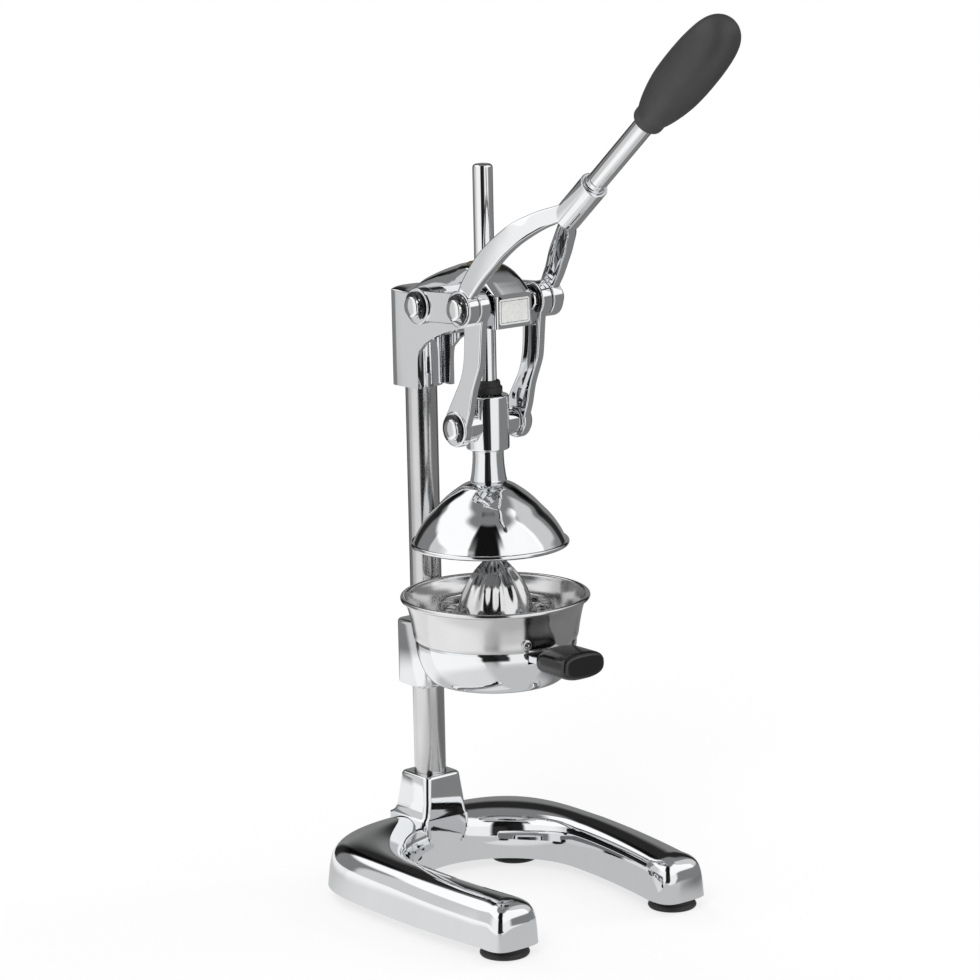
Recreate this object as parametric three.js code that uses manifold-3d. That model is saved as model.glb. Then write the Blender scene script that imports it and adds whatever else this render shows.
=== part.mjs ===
// Lever citrus juice press, in millimetres with Z up.
// A horseshoe base carries a column. The column carries a dish for the removable juice bowl
// and a head casting. A forked lever turns on an axle through the head. Its cranks pull two
// curved links, and these push the ram with its press cup down onto the pressing cone.
// X runs across the press, the front is towards -Y, and the ram's axis is the Z axis.
import * as THREE from 'three';
import { mergeVertices } from 'three/addons/utils/BufferGeometryUtils.js';
import Module from 'manifold-3d';

const wasm = await Module();
wasm.setup();

// Clearances and cutting
const seat_gap = 0.3;
const bore_gap = 0.2;
const overrun = 3;
const weld = 0.001;

// Facets round a full turn
const broad_sides = 36;
const round_sides = 24;
const pin_sides = 16;
const screw_sides = 8;
const corner_steps = 4;

// Height of the crosshead's trunnions. The bowl, the ram and the head are stacked from it.
const trunnion_height = 315.5;

// Base casting, on the table plane Z = 0
const foot_height = 7;
const foot_radius = 16;
const foot_neck_radius = 12.4;
const foot_lip = 1.6;
const front_foot_inset = 18.5;
const front_foot_reach = 95;
const rear_foot_inset = 36;
const rear_foot_reach = 54;
const base_half_width = 95;
const base_front_half_width = 88.5;
const front_foot_spacing = (base_front_half_width - front_foot_inset) * 2;
const rear_foot_spacing = (base_half_width - rear_foot_inset) * 2;
const base_rear_reach = 93;
const base_front_reach = 112;
const base_corner_power = 4.2;
const mouth_radius = 60;
const mouth_front_half_width = 51;
const mouth_reach = 8;
const base_rear_height = 41;
const base_front_height = 36.5;
const base_wall = 4;
const nose_length = 15;
const nose_power = 3;
const foot_boss_radius = 9;

// Column and its socket on the base
const column_radius = 10.5;
const column_reach = 69.2;
const column_floor = 22;
const column_seat = 7.5;
const socket_height = 70;
const socket_foot_half_width = 17.5;
const socket_half_width = 14.8;
const socket_corner = 4;
const socket_edge = 1.6;
const column_bolt_radius = 4;
const column_bolt_grip = 16;
const column_bolt_head_radius = 6.5;
const column_bolt_head_height = 5;
const washer_radius = 8.5;
const washer_thickness = 1.6;

// Dish that holds the bowl, and its sleeve on the column. It sits a little ahead of the ram's
// axis, so that the bowl's rim clears the column.
const dish_reach = 4.4;
const dish_depth = 29;
const sleeve_height = 44;
const sleeve_rim_drop = 2;
const dish_radius = 52.5;
const dish_foot_radius = 39;
const dish_wall = 3;
const dish_outlet_radius = 14;
const sleeve_half_width = 15.8;
const sleeve_corner = 7;
const sleeve_edge = 1.4;
const dish_web_half_width = 10;

// Removable juice bowl of sheet steel
const bowl_radius = 61.6;
const bowl_upstand = 28;
const bowl_shoulder_radius = 53.3;
const bowl_bead_radius = 1.7;
const bowl_wall = 1.2;
const bowl_well_radius = 48.6;
const bowl_well_depth = 8;
const bowl_fall = 9;
const spout_radius = 9.5;
const spout_lift = 1;
const tab_width = 28;
const tab_thickness = 4.5;
const tab_root_reach = 45;
const tab_drop = 2;
const grip_width = 35;
const grip_thickness = 17.5;
const grip_start_reach = 58.4;
const grip_end_reach = 89.4;
const tab_grip_length = 18;
const handle_power = 3.6;
const handle_width_follow = 0.45;

// Strainer and pressing cone in the bowl
const strainer_radius = 37;
const strainer_rim_drop = 7;
const strainer_skirt_radius = 39.5;
const strainer_wall = 1.2;
const strainer_sink = 6;
const strainer_slots = 24;
const strainer_slot_width = 2.6;
const cone_base_radius = 27;
const cone_rim = 2.5;
const cone_height = 38;
const cone_ribs = 12;
const cone_tip_radius = 4;
const strainer_rib_depth = 2.2;

// Ram: rod, crosshead, bumper, press cup
const rod_radius = 6.5;
const rod_length = 203.5;
const rod_seat = 0.5;
const rod_tap_depth = 20;
const crosshead_radius = 14;
const crosshead_length = 35.5;
const crosshead_drop = 16;
const crosshead_edge = 1.4;
const crosshead_screw_drop = 9;
const trunnion_radius = 9;
const bumper_radius = 10;
const bumper_height = 9;
const bumper_step = 1.2;
const cup_radius = 50.6;
const cup_lift = 31.5;
const cup_height = 42.5;
const cup_crown_radius = 12;
const cup_wall = 1.6;
const cup_bead_radius = 1.7;
const neck_length = 20.5;
const neck_foot_radius = 11.6;
const neck_radius = 10.2;
const neck_flare_height = 7;
const cup_screw_radius = 4;
const cup_screw_head_radius = 9;
const cup_screw_head_height = 4.5;
const grub_radius = 3;
const grub_length = 4;

// Head casting
const head_half_width = 15;
const head_rear_reach = 83;
const head_front_reach = 29.5;
const head_plate_front_reach = 53;
const head_plate_height = 48.5;
const head_plate_thickness = 3;
const ram_headroom = 46.5;
const head_arch_reach = 22;
const head_side_height = 22.5;
const head_hump_height = 16;
const head_boss_radius = 14.2;
const axle_boss_radius = 11;
const bush_wall = 1.9;
const bush_length = 9;
const bush_flange = 1.6;
const bush_flange_radius = 11;
const badge_width = 24;
const badge_height = 16;
const badge_depth = 1;
const badge_corner = 2;

// Pivots, seen from the side
const pivot_setback = 22.5;
const pivot_rise = 12;
const crank_reach = 43.4;
const crank_rise = 2.5;
const pin_radius = 7;
const pin_dome = 2.6;
const groove_radius = 5.6;
const clip_thickness = 1.4;
const clip_radius = 10.2;
const clip_land = 1.6;

// Lever fork, tube and grip
const fork_inner_half_width = 30;
const fork_outer_half_width = 38.2;
const fork_ring_step = 1.6;
const fork_boss_radius = 11.8;
const crank_plate_height = 20;
const arm_width = 15.4;
const arm_thickness = 6.7;
const arm_edge = 1.5;
const arm_pocket_depth = 3;
const arm_pocket_margin = 3.4;
const lever_angle = 40.2;
const lever_root_reach = 104.9;
const lever_root_rise = 62;
const sleeve_radius = 9.2;
const sleeve_length = 35.2;
const sleeve_bead = 0.3;
const sleeve_bead_length = 4;
const tube_radius = 6.5;
const tube_wall = 1.5;
const tube_seat_depth = 26;
const tube_length = 146;
const lever_grip_start = 99.3;
const lever_grip_length = 96.3;
const lever_grip_radius = 16.7;
const lever_grip_bore_depth = 62;

// Links
const link_inner_half_width = 21;
const link_thickness = 5.6;
const link_boss_radius = 11.6;
const link_upper_boss_length = 8.3;
const link_lower_boss_step = 1;
const link_width = 16.4;
const link_groove_width = 4;
const link_groove_depth = 1.6;
const link_groove_spacing = 7.4;

// Heights worked out from the trunnions', down to the dish and up to the head
const crosshead_bottom = trunnion_height - crosshead_drop;
const crosshead_top = crosshead_bottom + crosshead_length;
const cup_crown = crosshead_bottom - neck_length;
const cup_rim = cup_crown - cup_height;
const rod_bottom = cup_crown + rod_seat;
const rod_top = rod_bottom + rod_length;
const bowl_rim = cup_rim - cup_lift;
const strainer_top = bowl_rim - strainer_rim_drop;
const dish_rim = bowl_rim - bowl_upstand;
const dish_floor = dish_rim - dish_depth;
const sleeve_top = dish_rim - sleeve_rim_drop;
const sleeve_bottom = sleeve_top - sleeve_height;
const spout_end = dish_floor + spout_lift;
const head_underside = crosshead_top + ram_headroom;
const head_plate_bottom = head_underside - head_plate_height;
const head_side_top = head_underside + head_side_height;
const head_hump_top = head_side_top + head_hump_height;
const column_top = head_underside + column_seat;
const pivot_height = head_underside + pivot_rise;

// Places worked out from the sizes above
const underside = foot_height + seat_gap;
const front = reach => -reach;
const crank_height = pivot_height + crank_rise;
const crank_front = crank_reach - pivot_setback;
const link_drop = crank_height - trunnion_height;
const column_bore = column_radius + seat_gap;

// Finishes
const chrome = new THREE.MeshStandardMaterial({ color: 0xdfe1e4, roughness: 0.06, metalness: 1 });
const steel = new THREE.MeshStandardMaterial({ color: 0xc9cbce, roughness: 0.24, metalness: 1 });
const clip_steel = new THREE.MeshStandardMaterial({ color: 0x3a3a3d, roughness: 0.4, metalness: 0.9 });
const bronze = new THREE.MeshStandardMaterial({ color: 0xa9793b, roughness: 0.45, metalness: 0.9 });
const rubber = new THREE.MeshStandardMaterial({ color: 0x17171a, roughness: 0.8, metalness: 0 });
const soft_grip = new THREE.MeshStandardMaterial({ color: 0x3a3a3d, roughness: 0.62, metalness: 0 });
const black_plastic = new THREE.MeshStandardMaterial({ color: 0x121214, roughness: 0.2, metalness: 0 });

// A closed triangle mesh becomes a solid whose faces point out.
function solid(geometry) {
  const bare = geometry.index ? geometry.toNonIndexed() : geometry.clone();
  bare.deleteAttribute('normal');
  bare.deleteAttribute('uv');
  const merged = mergeVertices(bare, weld);
  const corners = merged.index.array;
  const kept = [];
  for (let i = 0; i < corners.length; i += 3) {
    const [a, b, c] = [corners[i], corners[i + 1], corners[i + 2]];
    if (a !== b && b !== c && c !== a) kept.push([a, b, c]);
  }
  const make = triangles => new wasm.Manifold(new wasm.Mesh({
    numProp: 3,
    vertProperties: Float32Array.from(merged.attributes.position.array),
    triVerts: Uint32Array.from(triangles.flat()),
  }));
  const made = make(kept);
  return made.volume() > 0 ? made : make(kept.map(([a, b, c]) => [a, c, b]));
}

function geometryOf(body) {
  const mesh = body.getMesh();
  const geometry = new THREE.BufferGeometry();
  geometry.setAttribute('position', new THREE.Float32BufferAttribute(mesh.vertProperties, mesh.numProp));
  geometry.setIndex(Array.from(mesh.triVerts));
  const flat = geometry.toNonIndexed();
  flat.computeVertexNormals();
  return flat;
}

const join = (...geometries) => geometries.map(solid).reduce((a, b) => a.add(b));
const cut = (body, ...geometries) => geometries.map(solid).reduce((a, b) => a.subtract(b), body);

// Profile points are [radius, height]; the profile closes on itself or on the axis.
function turned(profile, sides = round_sides) {
  const points = profile.map(([radius, height]) => new THREE.Vector2(radius, height));
  const open = profile[0][0] > 0 || profile.at(-1)[0] > 0;
  if (open) points.push(points[0].clone());
  return new THREE.LatheGeometry(points, sides).rotateX(Math.PI / 2);
}

const rod = (radius, low, high, sides = round_sides) => turned(
  [[0, low], [radius, low], [radius, high], [0, high]], sides);

// The Z axis of a turned piece is laid along X.
const alongX = geometry => geometry.rotateY(Math.PI / 2);
const crossRod = (radius, low, high, sides = round_sides) => alongX(rod(radius, low, high, sides));

// An outline drawn with [y, z] points becomes a plate between two X places.
function sidePlate(outline, low, high) {
  const shape = new THREE.Shape(outline.map(([y, z]) => new THREE.Vector2(y, z)));
  const plate = new THREE.ExtrudeGeometry(shape, { depth: high - low, bevelEnabled: false });
  return plate.rotateY(Math.PI / 2).rotateX(Math.PI / 2).translate(low, 0, 0);
}

function flatPlate(shape, low, high, steps = 6) {
  const plate = new THREE.ExtrudeGeometry(shape,
    { depth: high - low, bevelEnabled: false, curveSegments: steps });
  return plate.translate(0, 0, low);
}

function block(x, y, z) {
  const box = new THREE.BoxGeometry(x[1] - x[0], y[1] - y[0], z[1] - z[0]);
  return box.translate((x[0] + x[1]) / 2, (y[0] + y[1]) / 2, (z[0] + z[1]) / 2);
}

// Rings of points with equal counts are joined into one closed body.
function loft(rings) {
  const count = rings[0].length;
  const middle = ring => ring.reduce((a, p) => a.add(p), new THREE.Vector3()).divideScalar(count);
  const triangles = [];
  rings.slice(1).forEach((ring, i) => ring.forEach((point, j) => {
    const k = (j + 1) % count;
    triangles.push(rings[i][j], ring[j], ring[k], rings[i][j], ring[k], rings[i][k]);
  }));
  const first = rings[0];
  const last = rings.at(-1);
  first.forEach((point, j) => triangles.push(point, first[(j + 1) % count], middle(first)));
  last.forEach((point, j) => triangles.push(last[(j + 1) % count], point, middle(last)));
  return new THREE.BufferGeometry().setFromPoints(triangles);
}

function roundedSquare(half, corner, z) {
  const ring = [];
  for (let quarter = 0; quarter < 4; quarter += 1) {
    const turn = quarter * Math.PI / 2;
    for (let step = 0; step <= corner_steps; step += 1) {
      const angle = turn + step / corner_steps * Math.PI / 2;
      const x = (half - corner) * Math.SQRT2 * Math.cos(turn + Math.PI / 4) + corner * Math.cos(angle);
      const y = (half - corner) * Math.SQRT2 * Math.sin(turn + Math.PI / 4) + corner * Math.sin(angle);
      ring.push(new THREE.Vector3(x, y, z));
    }
  }
  return ring;
}

const blend = (a, b, share) => a + (b - a) * share;

// One direction of a rounded rectangle: a power of two gives a circle, a higher one squarer sides.
const squared = (value, power) => Math.sign(value) * Math.abs(value) ** (2 / power);

const press = new THREE.Group();
const lever = new THREE.Group();
lever.position.set(0, pivot_setback, pivot_height);
press.add(lever);
const tray = new THREE.Group();
tray.position.y = front(dish_reach);
press.add(tray);
const links = new THREE.Group();
links.position.set(0, front(crank_reach), crank_rise);
lever.add(links);

function piece(name, body, material, parent = press) {
  const geometry = body.isBufferGeometry ? geometryOf(solid(body)) : geometryOf(body);
  const mesh = new THREE.Mesh(geometry, material);
  mesh.name = name;
  parent.add(mesh);
  return mesh;
}

// Base casting: one section is swept round the horseshoe, from nose to nose, and is hollow below.
const section_shares = [[0, 0], [0.035, 0.4], [0.075, 0.64], [0.14, 0.8], [0.24, 0.915], [0.36, 0.975],
  [0.5, 1],
  [0.72, 0.965], [0.88, 0.87], [0.955, 0.68], [0.985, 0.36], [1, 0]];
const hollow_section_shares = [[0, 0], [0.06, 0.55], [0.2, 0.86], [0.46, 1], [0.75, 0.95], [0.94, 0.7],
  [1, 0]];
const nose_shares = [0.99, 0.9, 0.68, 0.3];
const hollow_nose_shares = [0.7, 0.2];
const leg_shares = [0, 0.15, 0.4, 0.72];
const mouth_steps = 8;
const nose_floor_share = 0.66;

function horseshoe(inset, floor, sections, noses) {
  const half = [];
  const nose_back = base_front_reach - nose_length;
  const station = (outer, inner, height) => {
    const across = new THREE.Vector2(inner[0] - outer[0], inner[1] - outer[1]).normalize();
    const from = [outer[0] + across.x * inset, outer[1] + across.y * inset];
    const to = [inner[0] - across.x * inset, inner[1] - across.y * inset];
    const top = height - inset;
    half.push(sections.map(([share, rise]) => new THREE.Vector3(
      blend(from[0], to[0], share), blend(from[1], to[1], share), blend(floor, top, rise))));
  };
  for (const share of noses) {
    const spread = (1 - share ** nose_power) ** (1 / nose_power);
    const middle = (base_front_half_width + mouth_front_half_width) / 2;
    const half_width = (base_front_half_width - mouth_front_half_width) / 2 * spread;
    const y = front(nose_back + share * (nose_length - inset));
    const height = blend(underside, base_front_height, blend(nose_floor_share, 1, spread));
    station([-middle - half_width, y], [-middle + half_width, y], height);
  }
  for (const share of leg_shares) {
    const y = front(blend(nose_back, mouth_reach, share));
    const bow = Math.sqrt(share);
    station([-blend(base_front_half_width, base_half_width, bow), y],
      [-blend(mouth_front_half_width, mouth_radius, bow), y],
      blend(base_front_height, base_rear_height, share / 2));
  }
  const depth = base_rear_reach + mouth_reach;
  for (let step = 0; step <= mouth_steps; step += 1) {
    const angle = step / mouth_steps * Math.PI / 2;
    const wide = Math.cos(angle) ** (2 / base_corner_power);
    const deep = Math.sin(angle) ** (2 / base_corner_power);
    const height = blend(base_front_height, base_rear_height, (1 + step / mouth_steps) / 2);
    station([-base_half_width * wide, depth * deep - mouth_reach],
      [-mouth_radius * Math.cos(angle), mouth_radius * Math.sin(angle) - mouth_reach], height);
  }
  const mirrored = half.slice(0, -1).reverse()
    .map(ring => ring.map(p => new THREE.Vector3(-p.x, p.y, p.z)));
  return loft([...half, ...mirrored]);
}

const feet_places = [];
for (const side of [-1, 1]) {
  feet_places.push([side * front_foot_spacing / 2, front(front_foot_reach)]);
  feet_places.push([side * rear_foot_spacing / 2, rear_foot_reach]);
}

const foot_screw_radius = 2.2;
const foot_screw_length = 12;
const foot_screw_head_radius = 4.4;
const foot_screw_head_height = 2.6;
const foot_recess_radius = 5.6;
const foot_recess_depth = 3.6;
const bolt_well_radius = 10.5;
const bolt_well_depth = 9;

function baseCasting() {
  const shell = solid(horseshoe(0, underside, section_shares, nose_shares));
  const hollow = solid(horseshoe(base_wall, underside - overrun, hollow_section_shares,
    hollow_nose_shares));
  const bosses = feet_places.map(([x, y]) =>
    rod(foot_boss_radius, underside, base_rear_height, screw_sides).translate(x, y, 0));
  const socket_core = rod(socket_foot_half_width, underside, socket_height - socket_edge)
    .translate(0, column_reach, 0);
  const socket_rings = [
    roundedSquare(socket_foot_half_width, socket_corner, base_rear_height - base_wall),
    roundedSquare(blend(socket_foot_half_width, socket_half_width, 0.12), socket_corner, base_rear_height),
    roundedSquare(socket_half_width, socket_corner, socket_height - socket_edge),
    roundedSquare(socket_half_width - socket_edge, socket_corner, socket_height),
  ];
  const core = solid(socket_core).intersect(solid(horseshoe(0, underside, section_shares, nose_shares)));
  const socket = solid(loft(socket_rings).translate(0, column_reach, 0));
  const inside_bosses = bosses.map(solid).map(boss => boss.intersect(shell));
  const whole = [core, socket, ...inside_bosses].reduce((a, b) => a.add(b), shell.subtract(hollow));
  const column_hole = rod(column_bore, column_floor, socket_height + overrun).translate(0, column_reach, 0);
  const bolt_hole = rod(column_bolt_radius + seat_gap, 0, column_floor + overrun, screw_sides)
    .translate(0, column_reach, 0);
  const bolt_well = rod(bolt_well_radius, 0, underside + bolt_well_depth).translate(0, column_reach, 0);
  const screw_holes = feet_places.map(([x, y]) => rod(
    foot_screw_radius + seat_gap, 0, underside + foot_screw_length, screw_sides).translate(x, y, 0));
  return cut(whole, column_hole, bolt_hole, bolt_well, ...screw_holes);
}

piece('base_casting', baseCasting(), chrome);

function rubberFoot() {
  return turned([
    [foot_screw_radius + seat_gap, foot_recess_depth], [foot_recess_radius, foot_recess_depth],
    [foot_recess_radius, 0], [foot_radius - foot_lip / 2, 0], [foot_radius, foot_lip],
    [foot_radius - foot_lip, foot_lip * 2], [foot_neck_radius, foot_height],
    [foot_screw_radius + seat_gap, foot_height],
  ], round_sides);
}

function footScrew() {
  const head = foot_recess_depth - seat_gap;
  return turned([
    [0, head - foot_screw_head_height], [foot_screw_head_radius * 0.8, head - foot_screw_head_height],
    [foot_screw_head_radius, head - foot_screw_head_height / 2], [foot_screw_head_radius, head],
    [foot_screw_radius, head], [foot_screw_radius, head + foot_screw_length], [0, head + foot_screw_length],
  ], screw_sides);
}

feet_places.forEach(([x, y], index) => {
  piece(`foot_${index + 1}`, rubberFoot(), rubber).position.set(x, y, 0);
  piece(`foot_screw_${index + 1}`, footScrew(), steel).position.set(x, y, 0);
});

// Column with a tapped foot, held by a bolt and washer from below
const column_chamfer = 1;

function column() {
  const floor = column_floor + seat_gap;
  const tap = column_bolt_radius + seat_gap;
  return turned([
    [tap, floor], [column_radius - column_chamfer, floor], [column_radius, floor + column_chamfer],
    [column_radius, column_top - column_chamfer], [column_radius - column_chamfer, column_top],
    [0, column_top],
    [0, floor + column_bolt_grip + overrun], [tap, floor + column_bolt_grip + overrun],
  ], broad_sides);
}

piece('column', column(), steel).position.y = column_reach;

const washer_seat = underside + bolt_well_depth - seat_gap;
const washer_bottom = washer_seat - washer_thickness;
piece('column_washer', turned([
  [column_bolt_radius + seat_gap, washer_bottom], [washer_radius, washer_bottom],
  [washer_radius, washer_seat],
  [column_bolt_radius + seat_gap, washer_seat],
], pin_sides), steel).position.y = column_reach;

function columnBolt() {
  const top = washer_bottom - seat_gap;
  const hexagon = 6;
  const head = rod(column_bolt_head_radius, top - column_bolt_head_height, top, hexagon);
  const shank = rod(column_bolt_radius, top - column_bolt_head_height / 2, column_floor + column_bolt_grip,
    screw_sides);
  return join(head, shank);
}

piece('column_bolt', columnBolt(), steel).position.y = column_reach;

// Dish and sleeve in one casting. The bowl's well hangs inside the dish.
const dish_side_shares = [[0, 0], [0.34, 0.07], [0.63, 0.25], [0.86, 0.52], [0.97, 0.77], [1, 1]];
const tab_notch_depth = 8;

function dishProfile() {
  const span = dish_radius - dish_foot_radius;
  const height = dish_rim - dish_floor;
  const outside = dish_side_shares.map(([out, up]) =>
    [dish_foot_radius + span * out, dish_floor + height * up]);
  const inside = dish_side_shares.map(([out, up]) => [
    dish_foot_radius + span * out - dish_wall, dish_floor + dish_wall + (height - dish_wall) * up]);
  return [[dish_outlet_radius, dish_floor], ...outside, ...inside.reverse(),
    [dish_outlet_radius, dish_floor + dish_wall]];
}

function dishHollow() {
  const span = dish_radius - dish_foot_radius;
  const height = dish_rim - dish_floor - dish_wall;
  const side = dish_side_shares.map(([out, up]) => [
    dish_foot_radius + span * out - dish_wall, dish_floor + dish_wall + height * up]);
  return turned([[0, dish_floor + dish_wall], ...side, [dish_radius - dish_wall, dish_rim + overrun],
    [0, dish_rim + overrun]], broad_sides);
}

const bracket_screw_height = (sleeve_bottom + sleeve_top) / 2;
const screw_bore = grub_radius + seat_gap;

function grubHole(z, from, to) {
  return rod(screw_bore, from, to, screw_sides).rotateX(-Math.PI / 2).translate(0, 0, z);
}

function bowlBracket() {
  const dish = turned(dishProfile(), broad_sides).translate(0, front(dish_reach), 0);
  const sleeve_rings = [
    roundedSquare(sleeve_half_width - sleeve_edge, sleeve_corner, sleeve_bottom),
    roundedSquare(sleeve_half_width, sleeve_corner, sleeve_bottom + sleeve_edge),
    roundedSquare(sleeve_half_width, sleeve_corner, sleeve_top - sleeve_edge),
    roundedSquare(sleeve_half_width - sleeve_edge, sleeve_corner, sleeve_top),
  ];
  const sleeve = loft(sleeve_rings).translate(0, column_reach, 0);
  const web_back = column_reach - sleeve_half_width / 2;
  const web = sidePlate([
    [web_back, sleeve_bottom + sleeve_edge],
    [column_reach - sleeve_half_width - overrun, sleeve_bottom + sleeve_edge],
    [dish_radius * 0.75, blend(sleeve_bottom, dish_floor, 0.55)],
    [dish_foot_radius * 0.75, dish_floor + dish_wall / 3],
    [dish_radius * 0.87, dish_rim - sleeve_edge], [web_back, dish_rim - sleeve_edge],
  ], -dish_web_half_width, dish_web_half_width);
  const notch = block([-tab_width / 2 - seat_gap, tab_width / 2 + seat_gap],
    [front(dish_reach + dish_radius + overrun), front(dish_reach + dish_radius - dish_wall - overrun)],
    [dish_rim - tab_notch_depth, dish_rim + overrun]);
  const bore = rod(column_bore, sleeve_bottom - overrun, sleeve_top + overrun)
    .translate(0, column_reach, 0);
  return cut(join(dish, sleeve, web), dishHollow().translate(0, front(dish_reach), 0), notch, bore,
    grubHole(bracket_screw_height, column_reach, column_reach + sleeve_half_width + overrun));
}

piece('bowl_bracket', bowlBracket(), chrome);

// A set screw with a hexagon socket, its tip at the origin and its length along +Y
const socket_radius = 1.6;
const socket_depth = 3;

function grubScrew() {
  const hexagon = 6;
  const body = solid(rod(grub_radius, 0, grub_length, screw_sides));
  const hole = rod(socket_radius, grub_length - socket_depth, grub_length + overrun, hexagon);
  return geometryOf(cut(body, hole)).rotateX(-Math.PI / 2);
}

piece('bracket_screw', grubScrew(), steel).position.set(
  0, column_reach + column_radius + seat_gap, bracket_screw_height);

// Juice bowl: rolled rim, leaning wall, shoulder that rests on the dish, well and spout
const bowl_wall_shares = [[0, 0], [0.06, 0.1], [0.2, 0.35], [0.55, 0.72], [1, 1]];
const bead_steps = 4;

function bead(radius, height, size, from, to) {
  const points = [];
  for (let step = 0; step <= bead_steps; step += 1) {
    const angle = blend(from, to, step / bead_steps);
    points.push([radius + size * Math.cos(angle), height + size * Math.sin(angle)]);
  }
  return points;
}

function juiceBowl() {
  const shoulder = dish_rim + seat_gap;
  const bead_height = bowl_rim - bowl_bead_radius;
  const span = bowl_radius - bowl_bead_radius * 1.5 - bowl_shoulder_radius;
  const height = bead_height - shoulder;
  const side = inset => bowl_wall_shares.map(([out, up]) => [
    bowl_shoulder_radius + span * out - inset, shoulder + inset + (height - inset) * up]);
  const well_floor = shoulder - bowl_well_depth;
  const spout_top = well_floor - bowl_fall;
  const outside = [
    [spout_radius, spout_end], [spout_radius, spout_top], [bowl_well_radius - bowl_wall * 2, well_floor],
    [bowl_well_radius, well_floor + bowl_wall * 2], [bowl_well_radius, shoulder], ...side(0),
  ];
  const rim = bead(bowl_radius - bowl_bead_radius, bead_height, bowl_bead_radius, -Math.PI / 2, Math.PI);
  const inside = [
    ...side(bowl_wall).reverse().slice(1), [bowl_well_radius - bowl_wall, shoulder + bowl_wall],
    [bowl_well_radius - bowl_wall, well_floor + bowl_wall * 2],
    [bowl_well_radius - bowl_wall * 3, well_floor + bowl_wall],
    [spout_radius - bowl_wall, spout_top + bowl_wall], [spout_radius - bowl_wall, spout_end],
  ];
  return turned([...outside, ...rim, ...inside], broad_sides);
}

piece('juice_bowl', juiceBowl(), steel, tray);

// Handle tab below the bowl's shoulder, and the moulded handle on its end
const tab_top = dish_rim - tab_drop;
const handle_middle = tab_top - tab_thickness / 2;

function handleTab() {
  const shape = new THREE.Shape();
  const half = tab_width / 2;
  const end = grip_start_reach + tab_grip_length;
  const chamfer = tab_thickness / 2;
  shape.moveTo(-half, front(tab_root_reach));
  shape.lineTo(-half, front(end - chamfer));
  shape.lineTo(-half + chamfer, front(end));
  shape.lineTo(half - chamfer, front(end));
  shape.lineTo(half, front(end - chamfer));
  shape.lineTo(half, front(tab_root_reach));
  const plate = solid(flatPlate(shape, tab_top - tab_thickness, tab_top));
  const clear = bowl_well_radius + seat_gap;
  return cut(plate, rod(clear, tab_top - tab_thickness - overrun, tab_top + overrun, broad_sides));
}

piece('handle_tab', handleTab(), steel, tray);

const handle_round_shares = [[0, 0.62], [0.12, 0.86], [0.3, 0.97], [0.55, 1], [0.78, 0.93], [0.93, 0.72],
  [1, 0.5]];

function bowlHandle() {
  const rings = handle_round_shares.map(([along, size]) => {
    const y = front(blend(grip_start_reach, grip_end_reach, along));
    const half_x = grip_width / 2 * blend(1, size, handle_width_follow);
    const half_z = grip_thickness / 2 * size;
    const ring = [];
    for (let step = 0; step < round_sides; step += 1) {
      const angle = step / round_sides * Math.PI * 2;
      const x = squared(Math.cos(angle), handle_power) * half_x;
      const z = squared(Math.sin(angle), handle_power) * half_z;
      ring.push(new THREE.Vector3(x, y, handle_middle + z));
    }
    return ring;
  });
  const half = tab_width / 2 + seat_gap;
  const pocket = block([-half, half],
    [front(grip_start_reach + tab_grip_length + seat_gap), front(grip_start_reach - overrun)],
    [tab_top - tab_thickness - seat_gap, tab_top + seat_gap]);
  return cut(solid(loft(rings)), pocket);
}

piece('bowl_handle', bowlHandle(), black_plastic, tray);


// Strainer: flange on the bowl's shoulder, skirt, raised ring and slotted floor
const cone_spigot_radius = 19.7;
const cone_spigot_length = 3.6;
const strainer_floor = strainer_top - strainer_sink;
const strainer_flange_radius = 50.2;

function strainer() {
  const flange = dish_rim + seat_gap * 2 + bowl_wall;
  const inner = strainer_radius - strainer_wall;
  const body = solid(turned([
    [cone_spigot_radius + seat_gap, strainer_floor - strainer_wall],
    [strainer_radius - strainer_wall / 2, strainer_floor - strainer_wall],
    [strainer_skirt_radius, flange], [strainer_flange_radius, flange],
    [strainer_flange_radius, flange + strainer_wall],
    [strainer_skirt_radius + strainer_wall, flange + strainer_wall],
    [strainer_radius + strainer_wall, strainer_top - strainer_wall],
    [strainer_radius + strainer_wall / 2, strainer_top],
    [strainer_radius - strainer_wall / 2, strainer_top],
    [inner, strainer_top - strainer_wall], [inner, strainer_floor],
    [cone_spigot_radius + seat_gap, strainer_floor],
  ], broad_sides));
  const slots = [];
  const half = strainer_slot_width / 2;
  for (let index = 0; index < strainer_slots; index += 1) {
    const slot = block([-half, half], [cone_base_radius + strainer_wall, inner - strainer_wall],
      [strainer_floor - strainer_wall - overrun, strainer_floor + overrun]);
    slots.push(slot.rotateZ((index + 0.5) / strainer_slots * Math.PI * 2));
  }
  return cut(body, ...slots);
}

piece('strainer', strainer(), steel, tray);

// Pressing cone: a domed body whose ribs run from the foot to the blunt tip
const cone_shares = [[0, 1], [0.12, 0.975], [0.3, 0.9], [0.5, 0.76], [0.68, 0.58], [0.84, 0.37],
  [0.95, 0.19]];
const rib_fade_shares = [0, 0.5, 1, 1, 0.9, 0.6, 0.2];

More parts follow.
